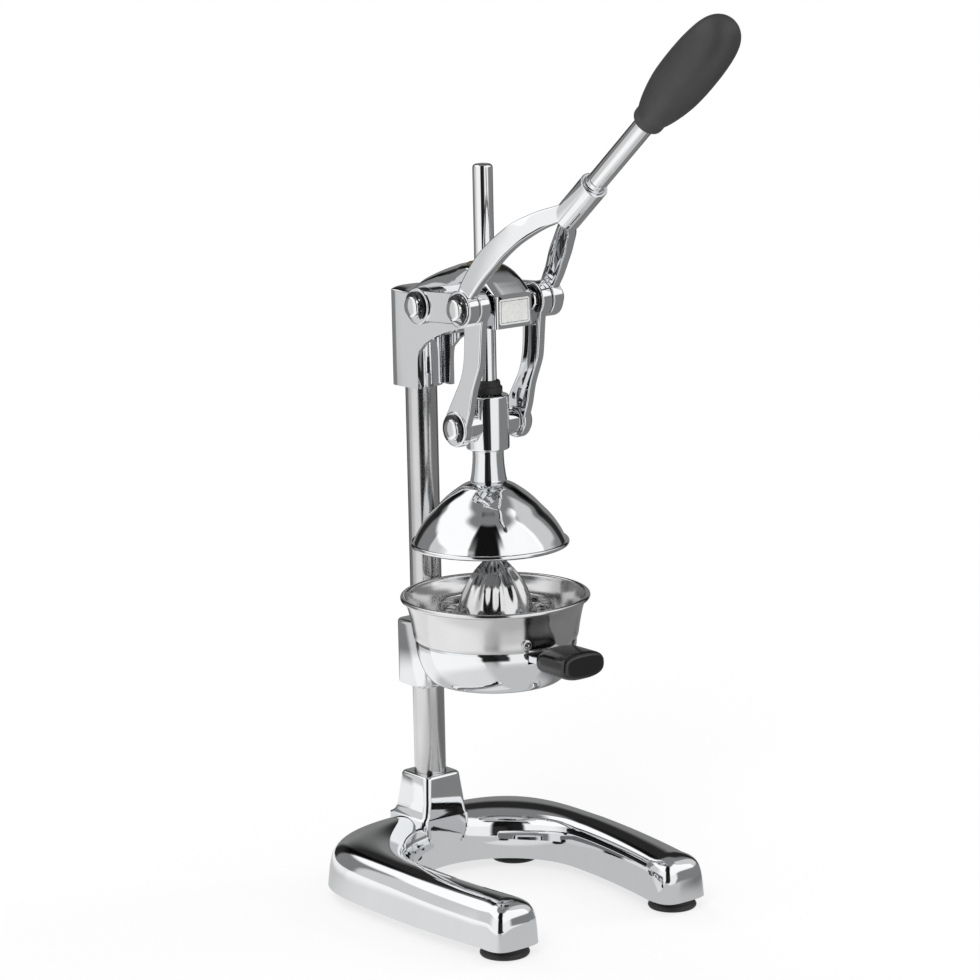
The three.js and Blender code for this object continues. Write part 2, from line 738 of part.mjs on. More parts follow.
function pressingCone() {
  const foot = strainer_floor + seat_gap;
  const count = cone_ribs * 4;
  const ring = (radius, height, depth) => Array.from({ length: count }, (_, step) => {
    const angle = step / count * Math.PI * 2;
    const wave = radius - depth * (1 - Math.cos(cone_ribs * angle)) / 2;
    return new THREE.Vector3(wave * Math.cos(angle), wave * Math.sin(angle), height);
  });
  const spigot = foot - cone_spigot_length;
  const rings = [ring(cone_spigot_radius, spigot, 0), ring(cone_spigot_radius, foot, 0),
    ring(cone_base_radius, foot, 0), ring(cone_base_radius, foot + cone_rim, 0)];
  const span = cone_base_radius - cone_rim;
  cone_shares.forEach(([rise, out], index) => rings.push(ring(
    span * out, foot + cone_rim + (cone_height - cone_rim) * rise,
      strainer_rib_depth * rib_fade_shares[index])));
  rings.push(ring(cone_tip_radius / 2, foot + cone_height, 0));
  return loft(rings);
}

piece('pressing_cone', pressingCone(), steel, tray);

// Ram rod with rounded top edge and tapped foot
const rod_edge = 1.2;

piece('ram_rod', turned([
  [cup_screw_radius + seat_gap, rod_bottom], [rod_radius - rod_edge / 2, rod_bottom],
  [rod_radius, rod_bottom + rod_edge / 2], [rod_radius, rod_top - rod_edge],
  [rod_radius - rod_edge * 0.3, rod_top - rod_edge * 0.3], [rod_radius - rod_edge, rod_top], [0, rod_top],
  [0, rod_bottom + rod_tap_depth], [cup_screw_radius + seat_gap, rod_bottom + rod_tap_depth],
], round_sides), chrome);

// Crosshead: a sleeve with a trunnion block on each side
const crosshead_screw_height = crosshead_top - crosshead_screw_drop;
const trunnion_reach = link_inner_half_width - seat_gap;

function crosshead() {
  const bore = rod_radius + seat_gap;
  const edge = crosshead_edge;
  const body = solid(turned([
    [bore, crosshead_bottom], [crosshead_radius - edge, crosshead_bottom],
    [crosshead_radius, crosshead_bottom + edge],
    [crosshead_radius, crosshead_top - edge], [crosshead_radius - edge * 0.3, crosshead_top - edge * 0.3],
    [crosshead_radius - edge, crosshead_top], [bore, crosshead_top],
  ]));
  const arm = crossRod(trunnion_radius, -trunnion_reach, trunnion_reach, pin_sides)
    .translate(0, 0, trunnion_height);
  const tool = rod(bore, crosshead_bottom - overrun, crosshead_top + overrun);
  return cut(body.add(solid(arm)), tool, grubHole(crosshead_screw_height, 0, crosshead_radius + overrun));
}

piece('crosshead', crosshead(), chrome);
piece('crosshead_screw', grubScrew(), steel).position.set(0, rod_radius + seat_gap, crosshead_screw_height);

const bumper_bottom = crosshead_top + seat_gap;
piece('bumper', turned([
  [rod_radius + seat_gap, bumper_bottom], [bumper_radius - bumper_step, bumper_bottom],
  [bumper_radius, bumper_bottom + bumper_step], [bumper_radius, bumper_bottom + bumper_height / 2],
  [bumper_radius - bumper_step, bumper_bottom + bumper_height / 2 + bumper_step],
  [bumper_radius - bumper_step, bumper_bottom + bumper_height - bumper_step],
  [bumper_radius - bumper_step * 2, bumper_bottom + bumper_height],
  [rod_radius + seat_gap, bumper_bottom + bumper_height],
]), rubber);

// Press cup: thin dome with a rolled rim, hung from the rod by a screw through its crown
const dome_shares = [[0.97, 0.07], [0.91, 0.2], [0.829, 0.341], [0.735, 0.47], [0.62, 0.585], [0.51, 0.69],
  [0.389, 0.78], [0.26, 0.86], [0.13, 0.93], [0, 1]];
const cup_hole_radius = cup_screw_radius + seat_gap;

function offset(profile, distance) {
  return profile.map(([r, z], i) => {
    const [r0, z0] = profile[Math.max(i - 1, 0)];
    const [r1, z1] = profile[Math.min(i + 1, profile.length - 1)];
    const length = Math.hypot(r1 - r0, z1 - z0);
    return [r - (z1 - z0) / length * distance, z + (r1 - r0) / length * distance];
  });
}

function pressCup() {
  const span = cup_radius - cup_crown_radius;
  const outside = dome_shares.map(([out, up]) =>
    [cup_crown_radius + span * out, blend(cup_rim, cup_crown, up)]);
  const inside = offset(outside, cup_wall).reverse();
  const ceiling = cup_crown - cup_wall;
  const inner_crown = [[cup_hole_radius, ceiling], [cup_crown_radius - cup_wall / 2, ceiling]];
  const rim = bead(cup_radius - cup_bead_radius / 2, cup_rim + cup_bead_radius, cup_bead_radius,
    -Math.PI * 0.9, Math.PI * 0.4);
  return turned([...rim, ...outside, [cup_hole_radius, cup_crown], ...inner_crown, ...inside.slice(1)],
    broad_sides);
}

piece('press_cup', pressCup(), chrome);

const neck_bottom = cup_crown + seat_gap;
const neck_top = crosshead_bottom - seat_gap;
piece('cup_neck', turned([
  [rod_radius + seat_gap, neck_bottom], [neck_foot_radius, neck_bottom],
  [neck_foot_radius, neck_bottom + neck_flare_height / 4],
  [blend(neck_foot_radius, neck_radius, 0.7), neck_bottom + neck_flare_height / 2],
  [neck_radius, neck_bottom + neck_flare_height],
  [neck_radius, neck_top - crosshead_edge / 2], [neck_radius - crosshead_edge / 2, neck_top],
  [rod_radius + seat_gap, neck_top],
]), chrome);

function cupScrew() {
  const seat = cup_crown - cup_wall - seat_gap;
  const low = seat - cup_screw_head_height;
  const head = turned([
    [0, low], [cup_screw_head_radius * 0.6, low],
    [cup_screw_head_radius * 0.9, low + cup_screw_head_height / 3],
    [cup_screw_head_radius, seat - cup_screw_head_height / 3], [cup_screw_head_radius, seat], [0, seat],
  ], pin_sides);
  const hexagon = 6;
  const shank = rod(cup_screw_radius, low + cup_screw_head_height / 2,
    rod_bottom + rod_tap_depth - overrun / 2, pin_sides);
  return cut(join(head, shank), rod(socket_radius * 2, low - overrun, low + socket_depth, hexagon));
}

piece('cup_screw', cupScrew(), steel);

// Head casting: a long body with a rounded hump, an arch below it and a boss round the column
const hump_steps = 6;
const head_front_edge = 3;
const head_front_fall = 11;
const head_top_shares = [
  [0, 1.045, 0.66, 2.5], [0.05, 0.75, 1.08, 2.5], [0.1, 0.475, 1.47, 2.5], [0.175, 0.19, 1.87, 2.5],
  [0.262, 0.025, 2.05, 2.2],
  [0.348, 0.01, 1.55, 1.5], [0.394, 0.07, 1.27, 0.8], [0.455, 0.16, 1, 0.1], [0.517, 0.29, 0.94, -0.3],
  [0.58, 0.43, 0.93, -0.4], [0.643, 0.6, 0.87, -0.4], [0.706, 0.775, 0.73, -0.4], [0.754, 0.98, 0.6, -0.1],
  [0.803, 1.175, 0.49, 0.8], [0.882, 1.28, 0.345, 1.5], [0.97, 1.375, 0.18, 1.5], [1, 1.48, 0.12, 1.5],
];
const head_side_low = head_side_top - head_front_fall;
const plan_power = 6;
const arch_shares = [[1, 1], [0.993, 0.55], [0.94, 0.42], [0.86, 0.32], [0.68, 0.185], [0.46, 0.08],
  [0.2, 0.01]];

function headCasting() {
  const length = head_front_reach + head_rear_reach;
  const sides = share => blend(head_side_low, head_side_top, share);
  const rings = head_top_shares.map(([along, fall, side, width]) => {
    const y = front(head_front_reach) + length * along;
    const low = sides(side);
    const high = head_hump_top - (head_hump_top - head_side_top) * fall;
    const ring = [];
    for (let step = 0; step <= hump_steps * 2; step += 1) {
      const angle = step / hump_steps / 2 * Math.PI;
      const x = squared(Math.cos(angle), 2 + width) * head_half_width;
      ring.push(new THREE.Vector3(x, y, low + squared(Math.sin(angle), 2) * Math.max(high - low, weld)));
    }
    ring.push(new THREE.Vector3(-head_half_width, y, head_plate_bottom),
      new THREE.Vector3(head_half_width, y, head_plate_bottom));
    return ring;
  });
  const plan = new THREE.Shape();
  const half = head_half_width;
  const back = head_rear_reach - column_reach;
  plan.moveTo(-half, column_reach);
  plan.lineTo(-half, front(head_front_reach - head_front_edge));
  plan.quadraticCurveTo(-half, front(head_front_reach), -half + head_front_edge, front(head_front_reach));
  plan.lineTo(half - head_front_edge, front(head_front_reach));
  plan.quadraticCurveTo(half, front(head_front_reach), half, front(head_front_reach - head_front_edge));
  plan.lineTo(half, column_reach);
  for (let step = 1; step < round_sides / 2; step += 1) {
    const angle = step / round_sides * 2 * Math.PI;
    plan.lineTo(squared(Math.cos(angle), plan_power) * half,
      column_reach + squared(Math.sin(angle), plan_power) * back);
  }
  const body = solid(loft(rings))
    .intersect(solid(flatPlate(plan, head_plate_bottom - overrun, head_hump_top + overrun)));
  const arch = arch_shares.map(([along, down]) => [
    blend(front(head_front_reach), head_plate_front_reach, along),
      blend(head_underside, head_plate_bottom, down)]);
  const under = sidePlate([
    ...arch, [front(head_front_reach + overrun), head_underside],
      [front(head_front_reach + overrun), head_plate_bottom - overrun],
    [head_plate_front_reach, head_plate_bottom - overrun],
  ], -half - overrun, half + overrun);
  const inner = half - head_plate_thickness;
  const pocket = block([-inner, inner], [head_plate_front_reach - head_arch_reach, column_reach],
    [head_plate_bottom - overrun, head_underside - head_plate_thickness * 2]);
  const boss = rod(head_boss_radius, head_plate_bottom, head_underside).translate(0, column_reach, 0);
  const axle_boss = crossRod(axle_boss_radius, -fork_inner_half_width + seat_gap,
    fork_inner_half_width - seat_gap)
    .translate(0, pivot_setback, pivot_height);
  const whole = cut(body, under, pocket).add(solid(boss)).add(solid(axle_boss));
  const column_hole = rod(column_bore, head_plate_bottom - overrun, column_top + seat_gap)
    .translate(0, column_reach, 0);
  const axle_hole = crossRod(pin_radius + bore_gap, -fork_inner_half_width - overrun,
    fork_inner_half_width + overrun)
    .translate(0, pivot_setback, pivot_height);
  const bush_outer = rod_radius + seat_gap + bush_wall;
  const guide = rod(bush_outer + seat_gap, head_plate_bottom, head_hump_top + overrun);
  const lower_seat = rod(bush_flange_radius + seat_gap, head_plate_bottom, head_underside);
  const upper_seat = rod(bush_flange_radius + seat_gap, head_hump_top - bush_flange,
    head_hump_top + overrun);
  const badge = block([-badge_width / 2, badge_width / 2],
    [front(head_front_reach + overrun), front(head_front_reach - badge_depth)],
    [badge_low, badge_low + badge_height]);
  const screw_hole = crossRod(screw_bore, 0, half + overrun, screw_sides)
    .translate(0, column_reach, head_screw_height);
  return cut(whole, column_hole, axle_hole, guide, lower_seat, upper_seat, badge, screw_hole);
}

const badge_rise = 2.5;
const badge_low = head_underside + badge_rise;
const head_screw_rise = 16;
const head_screw_height = head_plate_bottom + head_screw_rise;
piece('head_casting', headCasting(), chrome);
piece('head_screw', grubScrew().rotateZ(-Math.PI / 2), steel).position.set(
  column_radius + seat_gap, column_reach, head_screw_height);

function badgePlate() {
  const shape = new THREE.Shape();
  const half = badge_width / 2 - seat_gap;
  const low = badge_low + seat_gap;
  const high = badge_low + badge_height - seat_gap;
  shape.moveTo(-half + badge_corner, low);
  shape.lineTo(half - badge_corner, low);
  shape.quadraticCurveTo(half, low, half, low + badge_corner);
  shape.lineTo(half, high - badge_corner);
  shape.quadraticCurveTo(half, high, half - badge_corner, high);
  shape.lineTo(-half + badge_corner, high);
  shape.quadraticCurveTo(-half, high, -half, high - badge_corner);
  shape.lineTo(-half, low + badge_corner);
  shape.quadraticCurveTo(-half, low, -half + badge_corner, low);
  const thickness = badge_depth;
  return flatPlate(shape, 0, thickness).rotateX(Math.PI / 2)
    .translate(0, front(head_front_reach - badge_depth + seat_gap), 0);
}

piece('badge_plate', badgePlate(), steel);

// Guide bushes for the ram rod, one from above and one from below
function bush(length) {
  const inner = rod_radius + seat_gap;
  const outer = inner + bush_wall;
  return turned([
    [inner, 0], [outer, 0], [outer, length], [bush_flange_radius, length],
    [bush_flange_radius, length + bush_flange * 0.7],
    [bush_flange_radius - bush_flange * 0.3, length + bush_flange], [inner, length + bush_flange],
  ]);
}

piece('guide_bush_upper', bush(bush_length), bronze)
  .position.z = head_hump_top - bush_flange - bush_length + seat_gap;
piece('guide_bush_lower', bush(bush_length).rotateX(Math.PI), bronze)
  .position.z = head_underside + bush_length - seat_gap;

// Links: curved plates with a boss at each end and two grooves along the inner face.
// Each is drawn for the right side with its upper pin at the origin.
const link_rear_shares = [[0.139, 0.037], [0.123, 0.155], [0.132, 0.398], [0.176, 0.575], [0.27, 0.733],
  [0.363, 0.882], [0.399, 0.963]];
const link_front_shares = [[-0.139, 0.037], [-0.098, 0.13], [-0.072, 0.373], [-0.05, 0.484], [0.035, 0.68],
  [0.078, 0.845], [0.121, 0.963]];
const link_steps = 10;
const link_groove_start_share = 0.2;
const link_groove_end_share = 0.8;

function linkEdge(shares) {
  const points = shares.map(([back, down]) => new THREE.Vector2(link_drop * back, -link_drop * down));
  return new THREE.SplineCurve(points).getPoints(link_steps);
}

function linkGroove(rear, forward, spacing) {
  const half = link_groove_width / 2;
  const low = link_inner_half_width - overrun;
  const high = link_inner_half_width + link_groove_depth;
  const spine = rear.map((point, index) => point.clone().add(forward[index]).divideScalar(2));
  const used = spine.filter((_, index) => index >= link_steps * link_groove_start_share
    && index <= link_steps * link_groove_end_share);
  const line = used.map((point, index) => {
    const before = used[Math.max(index - 1, 0)];
    const after = used[Math.min(index + 1, used.length - 1)];
    const along = after.clone().sub(before).normalize();
    return { point, side: new THREE.Vector2(-along.y, along.x) };
  });
  const at = (step, shift) => [step.point.x + step.side.x * shift, step.point.y + step.side.y * shift];
  const strip = sidePlate([...line.map(step => at(step, spacing + half)),
    ...line.map(step => at(step, spacing - half)).reverse()], low, high);
  const ends = [line[0], line.at(-1)].map(step => {
    const [y, z] = at(step, spacing);
    return crossRod(half, low, high, screw_sides).translate(0, y, z);
  });
  return [strip, ...ends];
}

function link() {
  const rear = linkEdge(link_rear_shares);
  const forward = linkEdge(link_front_shares);
  const inner = link_inner_half_width;
  const outline = [...rear, ...forward.slice().reverse()].map(point => [point.x, point.y]);
  const body = join(
    sidePlate(outline, inner, inner + link_thickness),
    crossRod(link_boss_radius, inner, inner + link_upper_boss_length),
    crossRod(link_boss_radius, inner, inner + link_thickness + link_lower_boss_step)
      .translate(0, crank_front, -link_drop),
  );
  const bore = crossRod(pin_radius + bore_gap, inner - overrun, inner + link_upper_boss_length + overrun);
  return geometryOf(cut(body, bore, bore.clone().translate(0, crank_front, -link_drop),
    ...linkGroove(rear, forward, link_groove_spacing / 2),
      ...linkGroove(rear, forward, -link_groove_spacing / 2)));
}

// Lever fork: on each side a crank plate with two bosses and a channelled arm, both arms ending in a sleeve
const arm_path_shares = [[0.99, 0.415, 0.056], [0.985, 0.449, 0.202], [0.955, 0.507, 0.345],
  [0.885, 0.572, 0.497],
  [0.81, 0.637, 0.621], [0.721, 0.7, 0.732], [0.6, 0.775, 0.845], [0.43, 0.85, 0.935], [0.29, 0.92, 1],
  [0.147, 1.025, 1.07], [0.1, 1.11, 1.17]];
const arm_width_shares = [0.8, 0.82, 0.9, 1, 1, 0.95, 0.9, 0.8, 0.72, 0.66, 0.62];
const arm_stations = 12;
const arm_corner_steps = 3;
const arm_pocket_start_share = 0.14;
const arm_pocket_end_share = 0.6;

function armRings(side, width, thickness, shift, from, to) {
  const middle = (fork_inner_half_width + fork_outer_half_width) / 2;
  const path = new THREE.CatmullRomCurve3(arm_path_shares.map(([out, forward, up]) => new THREE.Vector3(
    side * middle * out, front(lever_root_reach * forward), lever_root_rise * up)));
  const rings = [];
  for (let step = 0; step <= arm_stations; step += 1) {
    const share = blend(from, to, step / arm_stations);
    const centre = path.getPoint(share);
    const along = path.getTangent(share);
    const across = new THREE.Vector3(side, 0, 0).addScaledVector(along, -side * along.x).normalize();
    const up = new THREE.Vector3().crossVectors(along, across);
    const place = share * (arm_width_shares.length - 1);
    const before = Math.min(Math.floor(place), arm_width_shares.length - 2);
    const broad = width * blend(arm_width_shares[before], arm_width_shares[before + 1], place - before);
    const ring = [];
    for (let corner = 0; corner < 4; corner += 1) {
      for (let turn = 0; turn < arm_corner_steps; turn += 1) {
        const angle = (corner + turn / (arm_corner_steps - 1)) * Math.PI / 2;
        const quarter = (corner + 0.5) * Math.PI / 2;
        const edge = Math.min(arm_edge, thickness / 3);
        const out = Math.sign(Math.cos(quarter)) * (thickness / 2 - edge) + edge * Math.cos(angle) + shift;
        const rise = Math.sign(Math.sin(quarter)) * (broad / 2 - edge) + edge * Math.sin(angle);
        ring.push(centre.clone().addScaledVector(across, out).addScaledVector(up, rise));
      }
    }
    rings.push(ring);
  }
  return rings;
}

const alongLever = geometry => geometry.rotateX(Math.PI / 2 - THREE.MathUtils.degToRad(lever_angle))
  .translate(0, front(lever_root_reach), lever_root_rise);

function leverFork() {
  const half = crank_plate_height / 2;
  const tilt = Math.atan2(crank_rise, crank_reach);
  const plate_inner = fork_inner_half_width + fork_ring_step / 4;
  const plate_outer = fork_outer_half_width - fork_ring_step;
  const across = [Math.sin(tilt) * half, Math.cos(tilt) * half];
  const solids = [];
  const bores = [];
  for (const side of [-1, 1]) {
    const sided = geometry => geometry.clone().scale(side, 1, 1);
    const plate = sidePlate([[across[0], across[1]],
      [front(crank_reach) + across[0], crank_rise + across[1]],
      [front(crank_reach) - across[0], crank_rise - across[1]], [-across[0], -across[1]]], plate_inner,
      plate_outer);
    const boss = crossRod(fork_boss_radius, fork_inner_half_width, fork_outer_half_width);
    const crank_boss = boss.clone().translate(0, front(crank_reach), crank_rise);
    const bore = crossRod(pin_radius + bore_gap, fork_inner_half_width - overrun,
      fork_outer_half_width + overrun);
    const arm = loft(armRings(side, arm_width, arm_thickness, 0, 0, 1));
    const pocket = loft(armRings(side, arm_width - arm_pocket_margin * 2, arm_pocket_depth * 2,
      -arm_thickness / 2,
      arm_pocket_start_share, arm_pocket_end_share));
    solids.push(sided(plate), sided(boss), sided(crank_boss), arm);
    bores.push(sided(bore), sided(bore.clone().translate(0, front(crank_reach), crank_rise)), pocket);
  }
  const sleeve = alongLever(turned([
    [0, -sleeve_bead], [sleeve_radius - sleeve_bead, -sleeve_bead], [sleeve_radius, 0],
    [sleeve_radius, sleeve_length - sleeve_bead_length],
    [sleeve_radius + sleeve_bead, sleeve_length - sleeve_bead_length * 0.8],
    [sleeve_radius + sleeve_bead, sleeve_length - sleeve_bead / 2], [sleeve_radius, sleeve_length],
    [0, sleeve_length],
  ]));
  const seat = alongLever(rod(tube_radius + seat_gap, sleeve_length - tube_seat_depth,
    sleeve_length + overrun));
  return cut(join(...solids, sleeve), ...bores, seat);
}

piece('lever_fork', leverFork(), chrome, lever);

const tube_start = sleeve_length - tube_seat_depth + seat_gap;
piece('lever_tube', alongLever(turned([
  [tube_radius - tube_wall, tube_start], [tube_radius, tube_start], [tube_radius, tube_start + tube_length],
  [tube_radius - tube_wall, tube_start + tube_length],
])), chrome, lever);

// Moulded grip: a bead at the neck, a swelling body and a round end
const lever_grip_shares = [[0, 0.5], [0.012, 0.565], [0.045, 0.585], [0.06, 0.58], [0.08, 0.64],
  [0.13, 0.72], [0.2, 0.815],
  [0.27, 0.9], [0.35, 0.97], [0.5, 1], [0.65, 0.99], [0.79, 0.93], [0.87, 0.84], [0.93, 0.68],
  [0.972, 0.46], [0.994, 0.22], [1, 0]];

function leverGrip() {
  const bore = tube_radius + seat_gap;
  return alongLever(turned([
    [bore, lever_grip_start],
    ...lever_grip_shares.map(([along, out]) =>
      [lever_grip_radius * out, lever_grip_start + lever_grip_length * along]),
    [0, lever_grip_start + lever_grip_bore_depth], [bore, lever_grip_start + lever_grip_bore_depth],
  ]));
}

piece('lever_grip', leverGrip(), soft_grip, lever);

// Pins: plain rods with a groove for each clip and one or two domed ends
const groove_play = 0.2;

function pinProfile(start, end, grooves, domed_start) {
  const profile = [[0, start]];
  if (domed_start) profile.push([pin_radius * 0.55, start + pin_dome * 0.18],
    [pin_radius * 0.88, start + pin_dome * 0.5]);
  profile.push([domed_start ? pin_radius : pin_radius - pin_dome / 4,
    domed_start ? start + pin_dome : start]);
  if (!domed_start) profile.push([pin_radius, start + pin_dome / 4]);
  for (const groove of grooves) {
    const low = groove - groove_play;
    const high = groove + clip_thickness + groove_play;
    profile.push([pin_radius, low], [groove_radius, low], [groove_radius, high], [pin_radius, high]);
  }
  profile.push([pin_radius, end - pin_dome], [pin_radius * 0.88, end - pin_dome * 0.5],
    [pin_radius * 0.55, end - pin_dome * 0.18]);
  profile.push([0, end]);
  return profile;
}

// The clip is a flat ring with an opening and three inward teeth that stand in the groove.
const clip_opening = 0.62;
const clip_tooth = 0.3;
const clip_steps = 3;

function clip() {
  const shape = new THREE.Shape();
  const teeth = groove_radius + seat_gap;
  const relief = pin_radius + seat_gap;
  const outer = [];
  const inner = [];
  const first = clip_opening;
  const last = Math.PI * 2 - clip_opening;
  const marks = [first, Math.PI, last];
  for (let step = 0; step <= clip_steps * 6; step += 1) {
    const angle = blend(first, last, step / clip_steps / 6);
    outer.push([clip_radius * Math.cos(angle), clip_radius * Math.sin(angle)]);
    const near = marks.some(mark => Math.abs(angle - mark) < clip_tooth);
    const radius = near ? teeth : relief;
    inner.push([radius * Math.cos(angle), radius * Math.sin(angle)]);
  }
  [...outer, ...inner.reverse()].forEach(([x, y], index) =>
  (index ? shape.lineTo(x, y) : shape.moveTo(x, y)));
  return alongX(flatPlate(shape, 0, clip_thickness));
}

const outer_clip = fork_outer_half_width + seat_gap;
const inner_clip = link_inner_half_width - seat_gap - clip_thickness;
const link_clip = link_inner_half_width + link_thickness + link_lower_boss_step + seat_gap;
const outer_end = outer_clip + clip_thickness + clip_land + pin_dome;
const crank_pin_start = inner_clip - clip_land;
const lower_pin_end = link_clip + clip_thickness + clip_land + pin_dome / 2;

const axle = alongX(turned([
  ...pinProfile(-outer_end, outer_end, [-outer_clip - clip_thickness, outer_clip], true),
], pin_sides));
piece('pivot_axle', axle, chrome).position.set(0, pivot_setback, pivot_height);

for (const [side, name] of [[-1, 'left'], [1, 'right']]) {
  const facing = geometry => geometry.scale(side, 1, 1);
  piece(`pivot_clip_${name}`, facing(clip().translate(outer_clip, 0, 0)), clip_steel)
    .position.set(0, pivot_setback, pivot_height);
  const crank_pin = alongX(turned(pinProfile(crank_pin_start, outer_end, [inner_clip, outer_clip], false),
    pin_sides));
  piece(`crank_pin_${name}`, facing(crank_pin), chrome, lever)
    .position.set(0, front(crank_reach), crank_rise);
  piece(`crank_clip_${name}`, facing(clip().translate(outer_clip, 0, 0)), clip_steel, lever)
    .position.set(0, front(crank_reach), crank_rise);
  piece(`crank_inner_clip_${name}`, facing(clip().translate(inner_clip, 0, 0)), clip_steel, lever)
    .position.set(0, front(crank_reach), crank_rise);
  const lower_pin = alongX(turned(pinProfile(link_inner_half_width, lower_pin_end, [link_clip], false),
    pin_sides));
  piece(`link_pin_${name}`, facing(lower_pin), chrome, links).position.set(0, crank_front, -link_drop);
  piece(`link_clip_${name}`, facing(clip().translate(link_clip, 0, 0)), clip_steel, links)
    .position.set(0, crank_front, -link_drop);
  piece(`link_${name}`, facing(link()), chrome, links);
}

const part = new THREE.Group();
part.add(press);
const bounds = new THREE.Box3().setFromObject(press);
press.position.y = -(bounds.min.y + bounds.max.y) / 2;

export default part;
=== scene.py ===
# %% [markdown]
# # A lever citrus juice press in chrome and steel
# The real press is a stack of castings, turned bars and pressed sheet, nearly all of it mirror bright.
# Such metal shows nothing but its surroundings, so every face here is modelled finely enough to
# reflect a clean line, and the studio is made of a pale floor, dark walls and bright panels above.

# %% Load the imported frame
import math
import bpy
import bmesh
from mathutils import Matrix, Vector


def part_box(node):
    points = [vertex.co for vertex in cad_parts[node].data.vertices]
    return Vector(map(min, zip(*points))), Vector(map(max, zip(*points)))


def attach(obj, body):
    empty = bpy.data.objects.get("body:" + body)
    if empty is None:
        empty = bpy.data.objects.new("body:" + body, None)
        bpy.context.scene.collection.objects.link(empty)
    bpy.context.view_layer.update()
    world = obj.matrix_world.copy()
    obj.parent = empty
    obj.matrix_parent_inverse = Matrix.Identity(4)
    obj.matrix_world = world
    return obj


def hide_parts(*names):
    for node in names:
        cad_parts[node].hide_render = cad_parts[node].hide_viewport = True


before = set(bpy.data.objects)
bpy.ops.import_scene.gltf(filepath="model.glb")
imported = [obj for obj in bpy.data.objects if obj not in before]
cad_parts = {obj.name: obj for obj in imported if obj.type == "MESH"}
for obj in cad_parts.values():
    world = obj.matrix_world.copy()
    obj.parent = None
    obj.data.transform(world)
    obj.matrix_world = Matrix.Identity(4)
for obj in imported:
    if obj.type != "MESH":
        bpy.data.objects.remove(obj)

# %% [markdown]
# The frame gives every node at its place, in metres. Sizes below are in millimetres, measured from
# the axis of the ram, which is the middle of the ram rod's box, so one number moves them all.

MM = 0.001
LOW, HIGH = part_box("ram_rod")
RAM_Y = (LOW[1] + HIGH[1]) / 2
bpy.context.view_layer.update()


def place(x, y, z):
    """A point in millimetres from the ram's axis, as metres in the frame."""
    return Vector((x * MM, y * MM + RAM_Y, z * MM))


def blend(low, high, share):
    return low + (high - low) * share


# %% [markdown]
# ## Camera
# The picture was taken from the front left and a little above, with a long lens that keeps the
# column upright. The camera comes first, so that every later piece can be judged through it.

# %% Camera
AZIMUTH, ELEVATION, ROLL = math.radians(-38.44), math.radians(11.76), math.radians(-1.14)
CAMERA_DISTANCE = 2258.3
SENSOR_MM = 36
FOCAL_SHARE = 3500.32 / 980
AIM_HEIGHT, AIM_RIGHT, AIM_UP = 250, 0.25, 21.72

back = Vector((math.sin(AZIMUTH) * math.cos(ELEVATION), -math.cos(AZIMUTH) * math.cos(ELEVATION), math.sin(ELEVATION)))
right = Vector((math.cos(AZIMUTH), math.sin(AZIMUTH), 0))
up = back.cross(right)
level = Matrix((right, up, back)).transposed()
turn = level @ Matrix.Rotation(ROLL, 3, "Z")
aim = place(0, 0, AIM_HEIGHT) + MM * (AIM_RIGHT * turn.col[0] + AIM_UP * turn.col[1])
bpy.ops.object.camera_add(location=aim + back * CAMERA_DISTANCE * MM)
camera = bpy.context.object
camera.name = "studio_camera"
camera.rotation_euler = turn.to_euler()
camera.data.sensor_width = SENSOR_MM
camera.data.lens = SENSOR_MM * FOCAL_SHARE
bpy.context.scene.camera = camera
print("camera at", [round(v, 3) for v in camera.location])

# %% [markdown]
# ## Small tools for shaping
# A turned piece starts as one point, which is extruded along the outline of its half section and
# spun round the axis, the way a lathe makes the real one. Corners of the outline get a small
# radius first, because a real edge is never sharp and that radius is what catches the light.


# %% Outlines
def softened(outline, radius, steps=4, closed=True):
    """The outline with each corner rounded by up to radius."""
    count = len(outline)
    points = []
    for index, corner in enumerate(outline):
        here = Vector(corner)
        if not closed and index in (0, count - 1):
            points.append(tuple(here))
            continue
        before = Vector(outline[index - 1]) - here
        after = Vector(outline[(index + 1) % count]) - here
        reach = min(radius, before.length * 0.45, after.length * 0.45)
        start = here + before.normalized() * reach
        end = here + after.normalized() * reach
        for step in range(steps + 1):
            share = step / steps
            points.append(tuple(start.lerp(here, share).lerp(here.lerp(end, share), share)))
    return points


def flowing(points, count):
    """A smooth line through the points, with count steps between its ends."""
    line = [Vector(p) for p in points]
    line = [line[0] * 2 - line[1]] + line + [line[-1] * 2 - line[-2]]
    result = []
    for step in range(count + 1):
        along = step / count * (len(points) - 1)
        index = min(int(along), len(points) - 2)
        t = along - index
        a, b, c, d = line[index:index + 4]
        result.append(0.5 * (2 * b + (c - a) * t + (2 * a - 5 * b + 4 * c - d) * t * t + (3 * b - a - 3 * c + d) * t ** 3))
    return result


# %% Starting, turning and placing pieces
def start(name, add, **settings):
    """A primitive as a new object in edit mode, with nothing else selected."""
    if bpy.context.object and bpy.context.object.mode != "OBJECT":
        bpy.ops.object.mode_set(mode="OBJECT")
    bpy.ops.object.select_all(action="DESELECT")
    add(**settings)
    piece = bpy.context.object
    piece.name = name
    bpy.ops.object.mode_set(mode="EDIT")
    return piece


def leave_edit(piece, matrix=None, smooth=32):
    """Back to object mode, put in place, and shaded smooth except across real edges."""
    bpy.ops.mesh.select_all(action="SELECT")
    bpy.ops.mesh.remove_doubles(threshold=1e-6)
    bpy.ops.mesh.normals_make_consistent(inside=False)
    bpy.ops.object.mode_set(mode="OBJECT")
    if matrix is not None:
        piece.matrix_world = matrix
        bpy.ops.object.transform_apply(location=True, rotation=True, scale=True)
    bpy.ops.object.shade_smooth_by_angle(angle=math.radians(smooth))
    return piece


